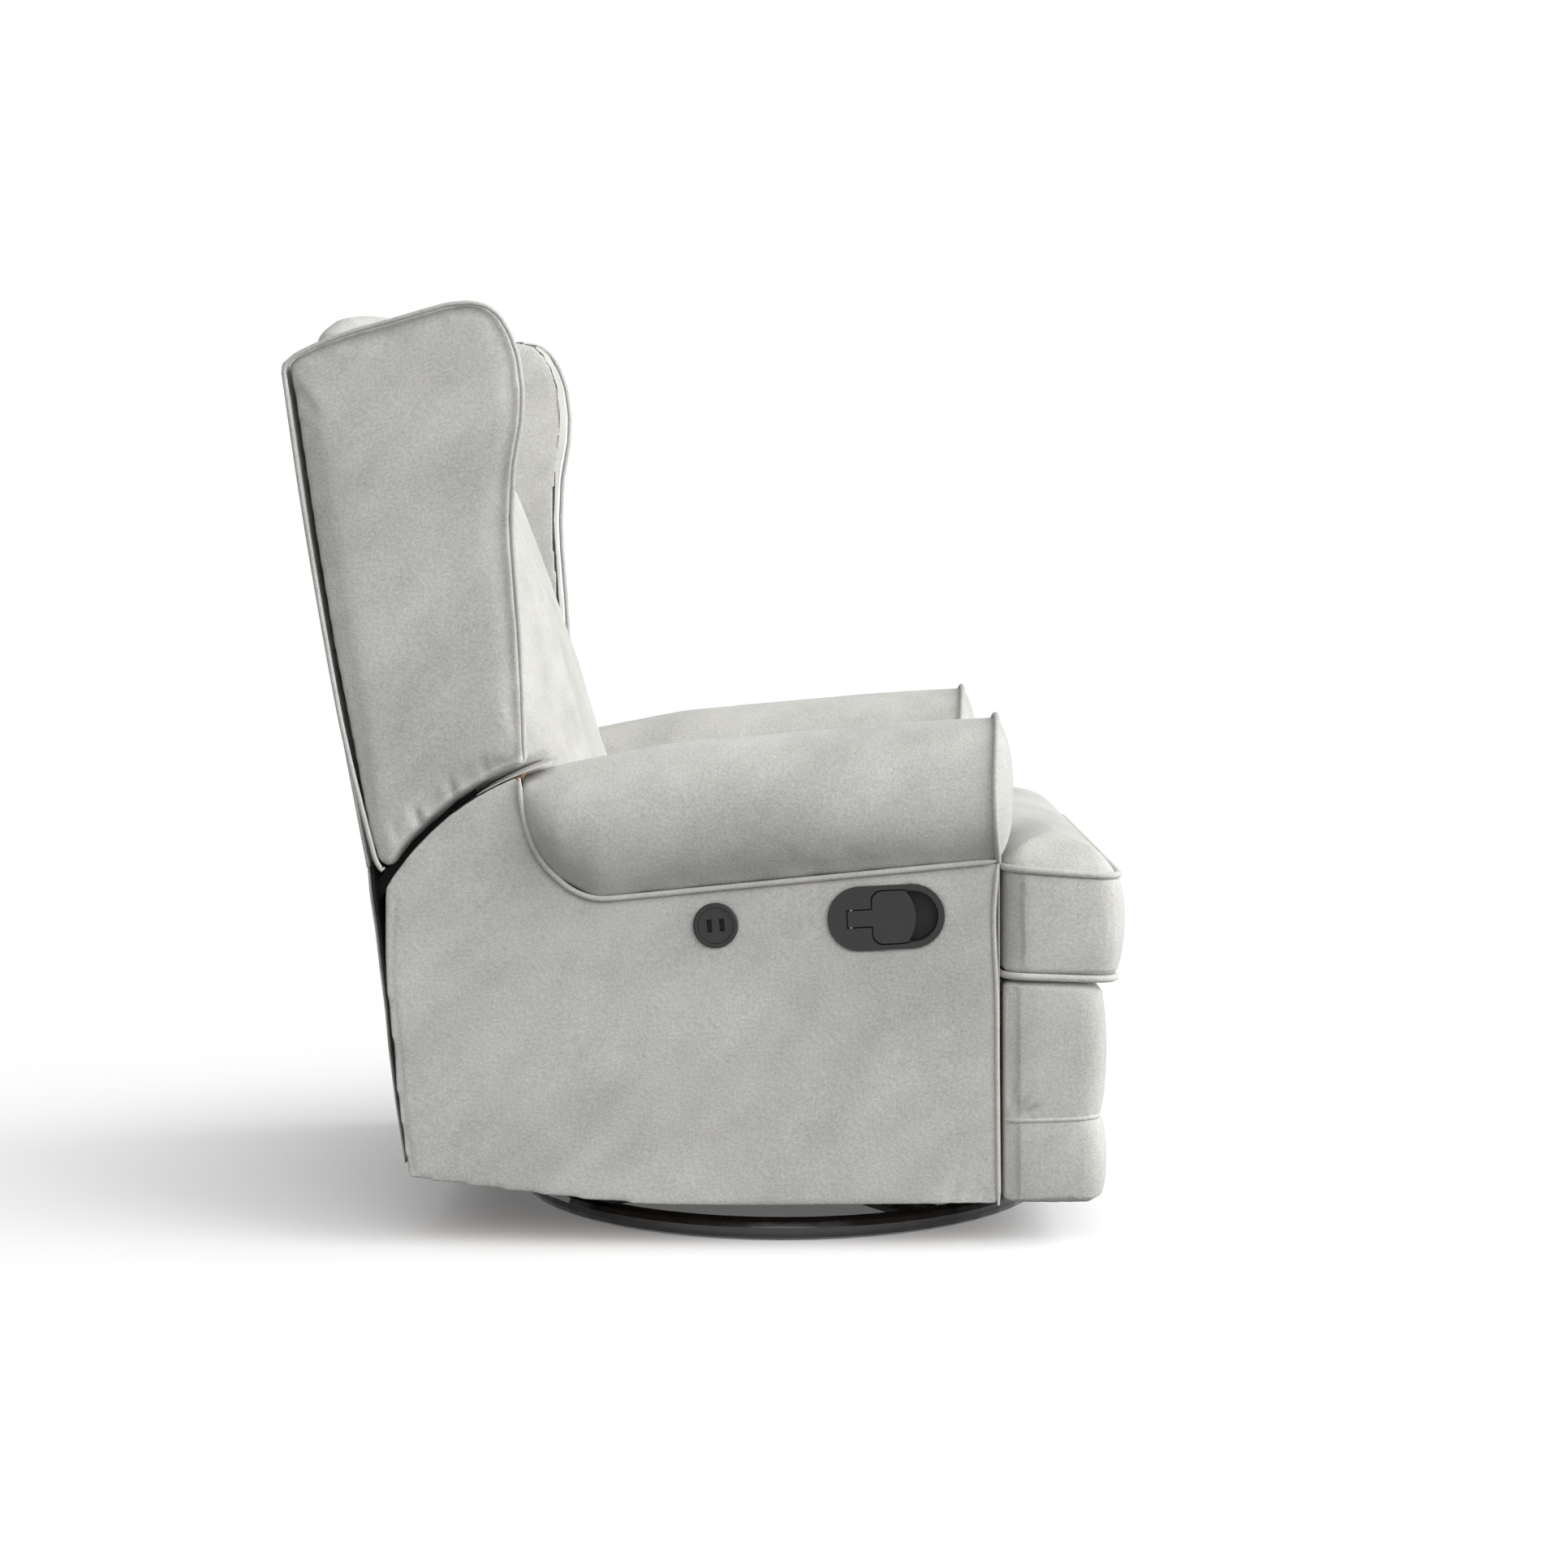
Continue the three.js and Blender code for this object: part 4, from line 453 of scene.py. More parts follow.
def finer(piece, levels=1):
    if levels:
        division = piece.modifiers.new("finer", "SUBSURF")
        division.levels = levels
        division.render_levels = levels
        settle(piece)
    for face in piece.data.polygons:
        face.use_smooth = True


def dressed(piece, body, *replaced, fill=0.6):
    piece.data.materials.clear()
    piece.data.materials.append(suede)
    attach(piece, body)
    if replaced:
        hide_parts(*replaced)


def cut_line(mesh, point, normal):
    """The longest line that a plane cuts on a mesh, as points in order."""
    shape = bmesh.new()
    shape.from_mesh(mesh)
    bmesh.ops.remove_doubles(shape, verts=shape.verts[:], dist=1e-6)
    everything = shape.verts[:] + shape.edges[:] + shape.faces[:]
    bmesh.ops.bisect_plane(
        shape, geom=everything, plane_co=point, plane_no=normal, dist=1e-6,
        clear_inner=True, clear_outer=True
    )
    near = {
        vertex: [edge.other_vert(vertex) for edge in vertex.link_edges] for vertex in shape.verts
    }
    lines, used = [], set()
    for first in sorted(near, key=lambda vertex: (len(near[vertex]), vertex.index)):
        if first in used or not near[first]:
            continue
        line, here = [first], first
        used.add(first)
        while True:
            onward = [vertex for vertex in near[here] if vertex not in used]
            if not onward:
                break
            here = onward[0]
            used.add(here)
            line.append(here)
        lines.append([vertex.co.copy() for vertex in line])
    shape.free()
    return max(lines, key=length_of)


def length_of(points):
    return sum((b - a).length for a, b in zip(points, points[1:]))


def evenly(points, spacing, closed=False):
    points = points + [points[0]] if closed else points
    total = length_of(points)
    count = max(3, round(total / spacing))
    steps = [total * i / count for i in range(count if closed else count + 1)]
    result, walked, index = [], 0.0, 0
    for step in steps:
        while (
            index < len(points) - 2
            and walked + (points[index + 1] - points[index]).length < step
        ):
            walked += (points[index + 1] - points[index]).length
            index += 1
        span = (points[index + 1] - points[index]).length or 1.0
        share = min(1.0, max(0.0, (step - walked) / span))
        result.append(points[index].lerp(points[index + 1], share))
    return result


def smoothed(points, times, closed=False):
    for _ in range(times):
        turned = []
        for i, point in enumerate(points):
            if not closed and i in (0, len(points) - 1):
                turned.append(point.copy())
                continue
            turned.append((points[i - 1] + point * 2 + points[(i + 1) % len(points)]) / 4)
        points = turned
    return points


def piping(name, points, body, radius=piping_radius, closed=False, taper=True):
    """Self-covered cord sewn into a seam."""
    data = bpy.data.curves.new(name, "CURVE")
    data.dimensions = "3D"
    data.bevel_depth = radius / 1000
    data.bevel_resolution = 3
    data.use_fill_caps = not closed
    line = data.splines.new("POLY")
    line.points.add(len(points) - 1)
    for i, (spot, point) in enumerate(zip(line.points, points)):
        spot.co = (*point, 1.0)
        ends = min(i, len(points) - 1 - i)
        spot.radius = 1.0 if closed or not taper else min(1.0, 0.45 + 0.28 * ends)
    line.use_cyclic_u = closed
    data.materials.append(suede)
    made = bpy.data.objects.new(name, data)
    bpy.context.collection.objects.link(made)
    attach(made, body)
    return made


def press_in(piece, points, width, depth, only=None):
    """A sewn seam: the cover is drawn in along a line."""
    line = evenly(points, width / 2000)
    lookup = KDTree(len(line))
    for i, point in enumerate(line):
        lookup.insert(point, i)
    lookup.balance()
    normals = [n.vector.copy() for n in piece.data.vertex_normals]
    for vertex, normal in zip(piece.data.vertices, normals):
        if only is not None and not only(vertex.co):
            continue
        _, _, gap = lookup.find(vertex.co)
        gap = gap * 1000
        if gap < width * 2.2:
            vertex.co -= normal * (depth / 1000) * math.exp(-((gap / width) ** 2))


def draw_to(piece, line, reach, hold=0.9):
    """Stitching pulls the cover out, or in, to its seam line."""
    steps = evenly(line, 0.003)
    lookup = KDTree(len(steps))
    for i, point in enumerate(steps):
        lookup.insert(point, i)
    lookup.balance()
    for vertex in piece.data.vertices:
        point, _, gap = lookup.find(vertex.co)
        if gap * 1000 < reach:
            vertex.co = vertex.co.lerp(point, hold * (1 - gap * 1000 / reach) ** 2)


def outward_of(ring):
    """For a closed line seen from above, the level direction that leads out of it at each point."""
    turn = sum(a.x * b.y - b.x * a.y for a, b in zip(ring, ring[1:] + ring[:1]))
    ways = []
    for i in range(len(ring)):
        along = ring[(i + 1) % len(ring)] - ring[i - 1]
        ways.append(Vector((along.y, -along.x, 0)).normalized() * math.copysign(1, turn))
    return ways


def boxed(piece, outline, top, foot, bow, crown):
    """Stuffing fills a sewn cover: its boxing bows out and its top is crowned."""
    ring = evenly(outline, 0.003, closed=True)
    ways = outward_of(ring)
    for _ in range(2):
        ways = [
            (ways[i - 1] + ways[i] * 2 + ways[(i + 1) % len(ways)]).normalized()
            for i in range(len(ways))
        ]
    lookup = KDTree(len(ring))
    for i, point in enumerate(ring):
        lookup.insert((point.x, point.y, 0), i)
    lookup.balance()
    for vertex in piece.data.vertices:
        f, z = f_of(vertex.co), vertex.co.z * 1000
        _, i, gap = lookup.find((vertex.co.x, vertex.co.y, 0))
        way, rim = ways[i], ring[i]
        beyond = (vertex.co.x - rim.x) * way.x + (vertex.co.y - rim.y) * way.y
        inside = 0 if beyond > 0 else gap * 1000
        high, low = top(f), foot(f)
        if high - z < min(inside, z - low):
            vertex.co.z = (high + crown(inside)) / 1000
        elif z - low < inside:
            vertex.co.z = low / 1000
        else:
            share = min(1, max(0, (z - low) / (high - low)))
            out = bow(f, way, share) / 1000
            slide = (vertex.co.y - rim.y) * way.x - (vertex.co.x - rim.x) * way.y
            level = (low + share * (high - low)) / 1000
            vertex.co = Vector(
                (rim.x + way.x * out - way.y * slide, rim.y + way.y * out + way.x * slide, level)
            )


def mirrored(name, piece):
    mesh = piece.data.copy()
    for vertex in mesh.vertices:
        vertex.co.x = -vertex.co.x
    mesh.flip_normals()
    made = bpy.data.objects.new(name, mesh)
    bpy.context.collection.objects.link(made)
    return made


def other_side(points):
    return [Vector((-point.x, point.y, point.z)) for point in points]


# Side panels. A board under thin foam and suede, its cover wrapped over the
# edges, with the arm's seam piped along its top and front.
panel_outer = 350
seam_rear = (-208, 384)
seam_front = (236, 427)


def seam_path():
    """Arm seam on the right side: down the arm's rear end, along its foot and to the front."""
    rear = (
        (-0.0912, 0.1275), (-0.0912, 0.116), (-0.088, 0.0935), (-0.0805, 0.065),
        (-0.0665, 0.04), (-0.048, 0.023),
        (-0.0265, 0.008), (0, 0),
    )
    points = [at(-panel_outer, seam_rear[0] + f * 932, seam_rear[1] + z * 1060) for f, z in rear]
    points.append(at(-panel_outer, seam_front[0] - 1, seam_front[1]))
    return smoothed(evenly(points, 0.006), 6)


def front_path():
    points = [at(-349, f, z) for f, z in (
        (235, 426), (232.6, 400), (230.4, 371), (231, 340),
        (232.8, 310), (234.2, 270), (235, 150), (236, 48),
    )]
    return smoothed(evenly(points, 0.008), 3)


arm_seam = seam_path()
front_edge = front_path()
rear_hem = [
    at(0, f, z) for f, z in (
        (-431, 388), (-434, 329), (-434, 298), (-430, 257), (-425, 215), (-421, 150), (-411, 86)
    )
]


panel_rim = evenly(
    cut_line(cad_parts["side_panel_right"].data, at(-348, 0, 0), (1, 0, 0)), 0.006,
    closed=True
)
panel_rim = [Vector((-0.349, p.y, p.z)) for p in panel_rim]


def side_cover(side, seam, edge, rim):
    cover = foam_from(f"side_cover_{side}", f"side_panel_{side}", 0.005)
    ease(cover, 2)
    outward = -1 if side == "right" else 1
    folds = ((206, 9, 34), (188, 7, 24), (221, 6, 26))
    for vertex in cover.data.vertices:
        f, z = f_of(vertex.co), vertex.co.z * 1000
        if abs(vertex.co.x) * 1000 < panel_outer - 9:
            continue
        lift = 0.8 * math.sin(f / 61 + z / 97) * math.sin(z / 73 - f / 140)
        for fold_f, width, height in folds:
            lean = fold_f + (z - 60) * 0.3
            lift -= (
                2.4 * math.exp(-(((f - lean) / width) ** 2)) * math.exp(-max(0, z - 56) / height)
            )
        vertex.co.x += outward * lift / 1000
    finer(cover)
    draw_to(cover, rim + [rim[0]], 9, 0.9)
    draw_to(cover, seam, 14)
    draw_to(cover, edge, 12)
    press_in(cover, [Vector((outward * 0.35, p.y, p.z)) for p in rear_hem], 3, 0.9)
    dressed(cover, "body", f"side_panel_{side}", fill=0.9)


for side, turn in (("right", list), ("left", other_side)):
    side_cover(side, turn(arm_seam), turn(front_edge), turn(panel_rim))
    raised = [p + Vector((-0.0018, 0, 0.0022)) for p in arm_seam]
    piping(f"arm_seam_piping_{side}", turn(raised), "body")
    piping(
        f"front_edge_piping_{side}", turn([p + Vector((0, -0.0014, 0)) for p in front_edge]),
        "body", radius=3.0
    )


# Linings. A black cloth over the rear edge and shoulder of each arm box, painted shade that
# darkens the gap where shadow falls, and a thin suede pad on its inner face beside the seat.
# Near-black cloth used as painted shade: sheets that darken gaps lying in shadow.
def make_shade_sheet_finish():
    material, tree, shader, place = surface("painted_shade_black_cloth", (0.022, 0.022, 0.023), 0.9)
    threads = noise(tree, place, 1400.0, 1.0)
    tree.links.new(
        shades(
            tree, between(tree, threads, 0.3, 0.7, 0.0, 1.0), (0.015, 0.015, 0.016),
            (0.032, 0.032, 0.033)
        ),
        shader.inputs["Base Color"],
    )
    tree.links.new(between(tree, threads, 0.3, 0.7, 0.84, 0.95), shader.inputs["Roughness"])
    bumped(tree, shader, threads, 0.0003, 0.4)
    return material


shade_sheet_black = make_shade_sheet_finish()
recline_pivot = (-186, 244)
shoulder_radius = 299
body_rear = (
    (-442.4, 328.6), (-441, 297.9), (-437, 256.5), (-432, 215.2), (-429, 172.8), (-416.4, 82)
)


def lining_path():
    shoulder = []
    for step in range(14):
        angle = math.radians(111 + 38 * step / 13)
        shoulder.append((
            recline_pivot[0] + shoulder_radius * math.cos(angle),
            recline_pivot[1] + shoulder_radius * math.sin(angle)
        ))
    return [*shoulder, *body_rear]


def strip(name, path, across, thickness, material):
    """A band of cloth between two x positions along a path of (f, z)."""
    columns = 6
    verts, faces = [], []
    for f, z in path:
        for column in range(columns + 1):
            verts.append(at(across[0] + (across[1] - across[0]) * column / columns, f, z))
    for row in range(len(path) - 1):
        for column in range(columns):
            first = row * (columns + 1) + column
            faces.append((first, first + 1, first + columns + 2, first + columns + 1))
    mesh = bpy.data.meshes.new(name)
    mesh.from_pydata(verts, [], faces)
    band = piece_from(name, mesh, material)
    thick = band.modifiers.new("cloth", "SOLIDIFY")
    thick.thickness = thickness / 1000
    thick.offset = 0
    settle(band)
    for face in band.data.polygons:
        face.use_smooth = True
    return band


# Painted shade: black bands over the arm box's rear edge and shoulder darken the gap under the wing
# where shadow falls.
lining = lining_path()
for side, way in (("right", -1), ("left", 1)):
    band = strip(f"arm_shade_lining_{side}", lining, (way * 231.5, way * 333), 0.9, shade_sheet_black)
    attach(band, "body")


shoulder_cloth_reach = 300.4
shoulder_cloth_start = 104
shoulder_cloth_sweep = 17
shoulder_cloth_inner = 232
shoulder_cloth_outer = 346


def shoulder_path():
    """The arc on which the wing passes over the arm as the back reclines."""
    points = []
    for step in range(9):
        turn = math.radians(shoulder_cloth_start + shoulder_cloth_sweep * step / 8)
        points.append((
            recline_pivot[0] + shoulder_cloth_reach * math.cos(turn),
            recline_pivot[1] + shoulder_cloth_reach * math.sin(turn)
        ))
    return points


for side, way in (("right", -1), ("left", 1)):
    edges = (way * shoulder_cloth_inner, way * shoulder_cloth_outer)
    band = strip(f"arm_shoulder_cloth_{side}", shoulder_path(), edges, 1.0, suede)
    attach(band, "body")


def inner_arm_pad(side, way):
    outline = cut_line(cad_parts[f"arm_frame_{side}"].data, at(way * 233, 0, 0), (1, 0, 0))
    shape = bmesh.new()
    face = shape.faces.new([shape.verts.new((way * 0.2316, p.y, p.z)) for p in outline])
    grown = bmesh.ops.extrude_face_region(shape, geom=[face])["geom"]
    for part in grown:
        if isinstance(part, bmesh.types.BMVert):
            part.co.x = way * 0.2252
    everything = shape.verts[:] + shape.edges[:] + shape.faces[:]
    cut = bmesh.ops.bisect_plane(
        shape, geom=everything, plane_co=(0, 0, 0.288), plane_no=(0, 0, 1), clear_inner=True
    )["geom_cut"]
    bmesh.ops.contextual_create(
        shape, geom=[part for part in cut if isinstance(part, bmesh.types.BMEdge)]
    )
    bmesh.ops.recalc_face_normals(shape, faces=shape.faces[:])
    bmesh.ops.triangulate(shape, faces=shape.faces[:])
    mesh = bpy.data.meshes.new(f"inner_arm_pad_{side}")
    shape.to_mesh(mesh)
    shape.free()
    pad = piece_from(f"inner_arm_pad_{side}", mesh)
    skin = pad.modifiers.new("skin", "REMESH")
    skin.mode = "VOXEL"
    skin.voxel_size = 0.003
    settle(pad)
    ease(pad, 3)
    finer(pad, 0)
    dressed(pad, "body", fill=0.8)


inner_arm_pad("right", -1)
inner_arm_pad("left", 1)


# Arms. Each is a fat roll of foam over the wooden box, its front closed by a
# puffed panel inside a piped ring.
def ring_face(z):
    return 231 + 7 * min(1, abs(z - 508) / 80) ** 2


def roll_end(f):
    line = cut_line(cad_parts["arm_roll_right"].data, at(0, f, 0), (0, 1, 0))
    return smoothed(evenly(line, 0.006, closed=True), 2, closed=True)


ring = [at(p.x * 1000, ring_face(p.z * 1000), p.z * 1000) for p in roll_end(235.5)]


def arm_roll():
    roll = foam_from("arm_cover_right", "arm_roll_right", 0.006, 0.001)
    swell(roll, 3.0, 0.004, lambda co: co.x > -0.250 and co.z < 0.42)
    ease(roll, 2)
    finer(roll)
    rim = KDTree(len(ring))
    for i, point in enumerate(ring):
        rim.insert((point.x, 0, point.z), i)
    rim.balance()
    for vertex in roll.data.vertices:
        _, _, gap = rim.find((vertex.co.x, 0, vertex.co.z))
        if f_of(vertex.co) > 233 and vertex.normal.y < -0.35:
            out = 28.5 * (1 - math.exp(-gap * 1000 / 30))
            vertex.co.y = at(0, ring_face(vertex.co.z * 1000) + out, 0).y
    rear_end = roll_end(-291.5)
    draw_to(roll, rear_end + [rear_end[0]], 15, 1.0)
    draw_to(roll, arm_seam, 24, 1.0)
    draw_to(roll, ring + [ring[0]], 16, 1.0)
    return roll


roll = arm_roll()
roll_other = mirrored("arm_cover_left", roll)
ring_centre = sum(ring, Vector()) / len(ring)
ring_welt = [p + (p - ring_centre).normalized() * 0.0016 for p in ring]
dressed(roll, "body", "arm_roll_right", fill=0.85)
dressed(roll_other, "body", "arm_roll_left", fill=0.85)
piping("arm_ring_right", ring_welt, "body", closed=True)
piping("arm_ring_left", other_side(ring_welt), "body", closed=True)

for side in ("right", "left"):
    post = foam_from(f"arm_post_{side}", f"arm_front_{side}", 0.003)
    for vertex in post.data.vertices:
        vertex.co.y = max(vertex.co.y, at(0, 239, 0).y)
    finer(post)
    dressed(post, "body", f"arm_front_{side}", fill=0.7)


# Seat cushion. A sprung foam T cushion, boxed: crowned top, bowed front band,
# and a piped seam round its top and bottom edges.
seat_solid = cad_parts["seat_cushion"].data


def seat_top(f):
    return 411 + 9.5 * min(1.4, (373 - f) / 131)


def seat_foot(f):
    return 301 - 4.4 * max(0, (f - 242) / 131)


def seat_bow(f, way, share):
    """The band stands out at the front, less at its ends and not at all beside the arms."""
    if f < 236 or way.y > 0.2:
        return 0
    return (0.4 + 0.6 * max(0, -way.y)) * (
        1.5 + 10 * (1 - (2 * share - 1) ** 2) ** 0.8 - 4 * (1 - share)
    )


def seat():
    cushion = foam_from("seat_cover", "seat_cushion", 0.0065, 0.002)
    swell(cushion, 4.0, 0.008, lambda co: co.z < 0.306 or co.y > 0.085)
    ease(cushion, 2)
    finer(cushion)
    boxed(
        cushion, seat_outline, seat_top, seat_foot, seat_bow,
        lambda d: 43 * (1 - math.exp(-d / 26))
    )
    ease(cushion, 1, 0.3)
    dressed(cushion, "body", "seat_cushion", fill=0.8)


def seat_seam(share, height):
    line = []
    for point, way in zip(seat_outline, outward_of(seat_outline)):
        f = f_of(point)
        out = point + way * ((seat_bow(f, way, share) + 1.2) / 1000)
        line.append(Vector((out.x, out.y, height(f) / 1000)))
    return smoothed(line, 2, closed=True)


seat_outline = smoothed(
    evenly(cut_line(seat_solid, at(0, 0, 407), (0, 0, 1)), 0.006, closed=True), 2, closed=True
)
seat()
piping("seat_piping_top", seat_seam(1, seat_top), "body", radius=4.0, closed=True)
piping("seat_piping_foot", seat_seam(0, seat_foot), "body", radius=4.0, closed=True)


# Footrest. A plywood board padded in two puffed rows with a piped seam between
# them, the lower row ending in a hem under the board.
footrest_top = 292.3
footrest_foot = 49
half_outline = (
    (337, 244), (341.5, 258), (344.5, 280), (345.5, 305), (344.5, 328), (341, 341), (333, 349),
    (320, 351)
)
pad_outline = [at(-x, f, 0) for x, f in half_outline] + [
    at(x, f, 0) for x, f in reversed(half_outline)
]
pad_outline = smoothed(evenly(pad_outline, 0.006, closed=True), 1, closed=True)


def row_height(f):
    return 138.7 + 4.2 * (f - 246) / 102


row_seam = [Vector((p.x, p.y, row_height(f_of(p)) / 1000)) for p in pad_outline if f_of(p) > 244.6]
first = max(range(len(row_seam)), key=lambda i: (row_seam[i] - row_seam[i - 1]).length)
row_seam = row_seam[first:] + row_seam[:first]


def pad_bow(f, way, share):
    z = footrest_foot + share * (footrest_top - footrest_foot)
    if way.y > 0.2:
        return 0
    row = row_height(f)
    low, high = (row, footrest_top) if z > row else (footrest_foot, row)
    place = (z - low) / (high - low)
    return (0.35 + 0.65 * max(0, -way.y)) * 9.6 * max(0, 1 - (2 * place - 1) ** 2) ** 0.6


def footrest_cover():
    both = bmesh.new()
    both.from_mesh(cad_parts["footrest_pad_upper"].data)
    both.from_mesh(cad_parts["footrest_pad_lower"].data)
    mesh = bpy.data.meshes.new("footrest_cover")
    both.to_mesh(mesh)
    both.free()
    cover = piece_from("footrest_cover", mesh)
    skin = cover.modifiers.new("skin", "REMESH")
    skin.mode = "VOXEL"
    skin.voxel_size = 0.005
    settle(cover)
    ease(cover, 2)
    swell(cover, 4.0, 0.005, lambda co: f_of(co) < 262 or abs(co.z - 0.144) < 0.006)
    ease(cover, 1)
    finer(cover)
    boxed(
        cover, pad_outline, lambda f: footrest_top, lambda f: footrest_foot, pad_bow,
        lambda d: 1.2 * (1 - math.exp(-d / 20)),
    )
    ease(cover, 1, 0.4)
    sideways = [abs(n.vector.x) > 0.5 for n in cover.data.vertex_normals]
    for vertex, on_side in zip(cover.data.vertices, sideways):
        f, z = f_of(vertex.co), vertex.co.z * 1000
        if f < 248:
            continue
        reach = abs(vertex.co.x) * 1000
        side = math.copysign(1, vertex.co.x)
        for fold_f, fold_z, lean in ((262, 156, 0.9), (272, 151, 0.5), (254, 168, 1.3)):
            along = (f - fold_f) * math.cos(lean) + (z - fold_z) * math.sin(lean)
            across = (z - fold_z) * math.cos(lean) - (f - fold_f) * math.sin(lean)
            if on_side:
                dent = 3.0 * math.exp(-((across / 3.2) ** 2)) * math.exp(-((along / 12) ** 2))
                vertex.co.x -= side * dent / 1000
        if f > 340:
            pucker = (
                1.3 * math.exp(-abs(z - row_height(f)) / 22) * math.sin(reach / 13)
                * min(1, max(0, (reach - 180) / 120))
            )
            vertex.co.y += pucker / 1000
    hem = [
        at(x, f, footrest_foot - 3) for x,
        f in ((-341, 343), (-334, 350), (-300, 351), (300, 351), (334, 350), (341, 343))
    ]
    draw_to(cover, hem, 12, 0.95)
    dressed(cover, "footrest", "footrest_pad_upper", "footrest_pad_lower", fill=0.75)


footrest_cover()
piping(
    "footrest_seam_piping", [p + Vector((0, -0.0006, 0.0006)) for p in row_seam], "footrest",
    radius=2.6
)


# Outside back. One lightly padded panel of suede over the back's whole width,
# with a loose tail of the same cloth that runs down into the body.
def outside_line(z):
    share = (z - 420) / 555
    return -465 - 92.5 * share - 4.5 * math.sin(math.pi * min(1, max(0, share)))


def outside_back():
    half, thick, columns = 341, 4.4, 48
    heights = [421 + 564 * row / 80 for row in range(81)]
    shape = bmesh.new()
    layers = []
    for depth in (0, thick):
        grid = []
        for z in heights:
            row = []
            for column in range(columns + 1):
                x = half * (2 * column / columns - 1)
                crown = (
                    2.5 * math.cos(math.pi * x / 2 / half) * min(1, (z - 421) / 90) if depth == 0
                    else 0
                )
                round_off = 2.0 * max(0, (abs(x) - half + 14) / 14) ** 2 if depth == 0 else 0
                drop = 9 * max(0, (abs(x) - 300) / 41) ** 2 * max(0, (z - 900) / 85)
                row.append(
                    shape.verts.new(at(x, outside_line(z) - crown + round_off + depth, z - drop))
                )
            grid.append(row)
        layers.append(grid)
    back, inner = layers
    for row in range(len(heights) - 1):
        for column in range(columns):
            for grid, way in ((back, 1), (inner, -1)):
                corners = [
                    grid[row][column], grid[row][column + 1], grid[row + 1][column + 1],
                    grid[row + 1][column]
                ]
                shape.faces.new(corners[::way])
        for column in (0, columns):
            shape.faces.new([
                back[row][column], back[row + 1][column], inner[row + 1][column], inner[row][column]
            ])
    for column in range(columns):
        for row in (0, len(heights) - 1):
            shape.faces.new([
                back[row][column], back[row][column + 1], inner[row][column + 1], inner[row][column]
            ])
    bmesh.ops.recalc_face_normals(shape, faces=shape.faces[:])
    mesh = bpy.data.meshes.new("outside_back_cover")
    shape.to_mesh(mesh)
    shape.free()
    panel = piece_from("outside_back_cover", mesh)
    finer(panel, 0)
    dressed(panel, "back", "back_panel", fill=0.9)


outside_back()


tail_line = [
    (-464, 424), (-461.5, 390), (-455.5, 350), (-450.5, 305),
    (-444.5, 258), (-441, 220), (-433, 160), (-422, 90),
]


def hanging(name, half, forward, material):
    path = evenly([at(0, f + forward, z) for f, z in tail_line], 0.01)
    columns = 60
    verts, faces = [], []
    for row, point in enumerate(path):
        rise = math.sin(math.pi * row / (len(path) - 1))
        for column in range(columns + 1):
            x = half * (2 * column / columns - 1)
            slack = (
                1.3 * math.sin(column * 0.8) * rise
                + 0.9 * math.sin(column * 0.31 + row * 0.12) * rise
            )
            verts.append(at(x, f_of(point) + 0.6 * slack, point.z * 1000))
    for row in range(len(path) - 1):
        for column in range(columns):
            first = row * (columns + 1) + column
            faces.append((first, first + 1, first + columns + 2, first + columns + 1))
    mesh = bpy.data.meshes.new(name)
    mesh.from_pydata(verts, [], faces)
    cloth = piece_from(name, mesh, material)
    thick = cloth.modifiers.new("cloth", "SOLIDIFY")
    thick.thickness = 0.0018
    thick.offset = 0
    settle(cloth)
    for face in cloth.data.polygons:
        face.use_smooth = True
    return cloth


tail = hanging("tail_cloth", 326, 0, suede)
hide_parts("back_tail")
# Painted shade: a black sheet in front of the tail darkens its inner face, which lies in shadow.
tail_shade_lining = hanging("tail_shade_lining", 321, 3.4, shade_sheet_black)
for cloth in (tail, tail_shade_lining):
    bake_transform(cloth)


# Wings. Tall foam wings over plywood cheeks; a piped seam runs round the outer
# face, and the cover puckers where it is drawn under the lower edge.
def rear_seam(z):
    return (
        outside_line(z) + 2.8 + 2.2 * min(1, max(0, (850 - z) / 260))
        + 10 * max(0, (590 - z) / 170) ** 1.3
    )


def wing_rim():
    """The seam round the wing's outer face, down to its pointed tip over the body."""
    line = evenly(
        cut_line(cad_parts["wing_right"].data, at(-344, 0, 0), (1, 0, 0)), 0.006, closed=True
    )
    placed = []
    for point in line:
        f, z = f_of(point), point.z * 1000
        turn = math.atan2(z - recline_pivot[1], f - recline_pivot[0])
        if from_pivot(point) < 316:
            f = recline_pivot[0] + 310 * math.cos(turn)
            z = recline_pivot[1] + 310 * math.sin(turn)
        if f < rear_seam(z) + 14 and z < 978:
            f = rear_seam(z)
        if f < -436 and z < 428:
            f, z = -445.5, 418.5
        placed.append(at(-347.2, f, z))
    return smoothed(placed, 1, closed=True)


def from_pivot(point):
    return math.hypot(f_of(point) - recline_pivot[0], point.z * 1000 - recline_pivot[1])


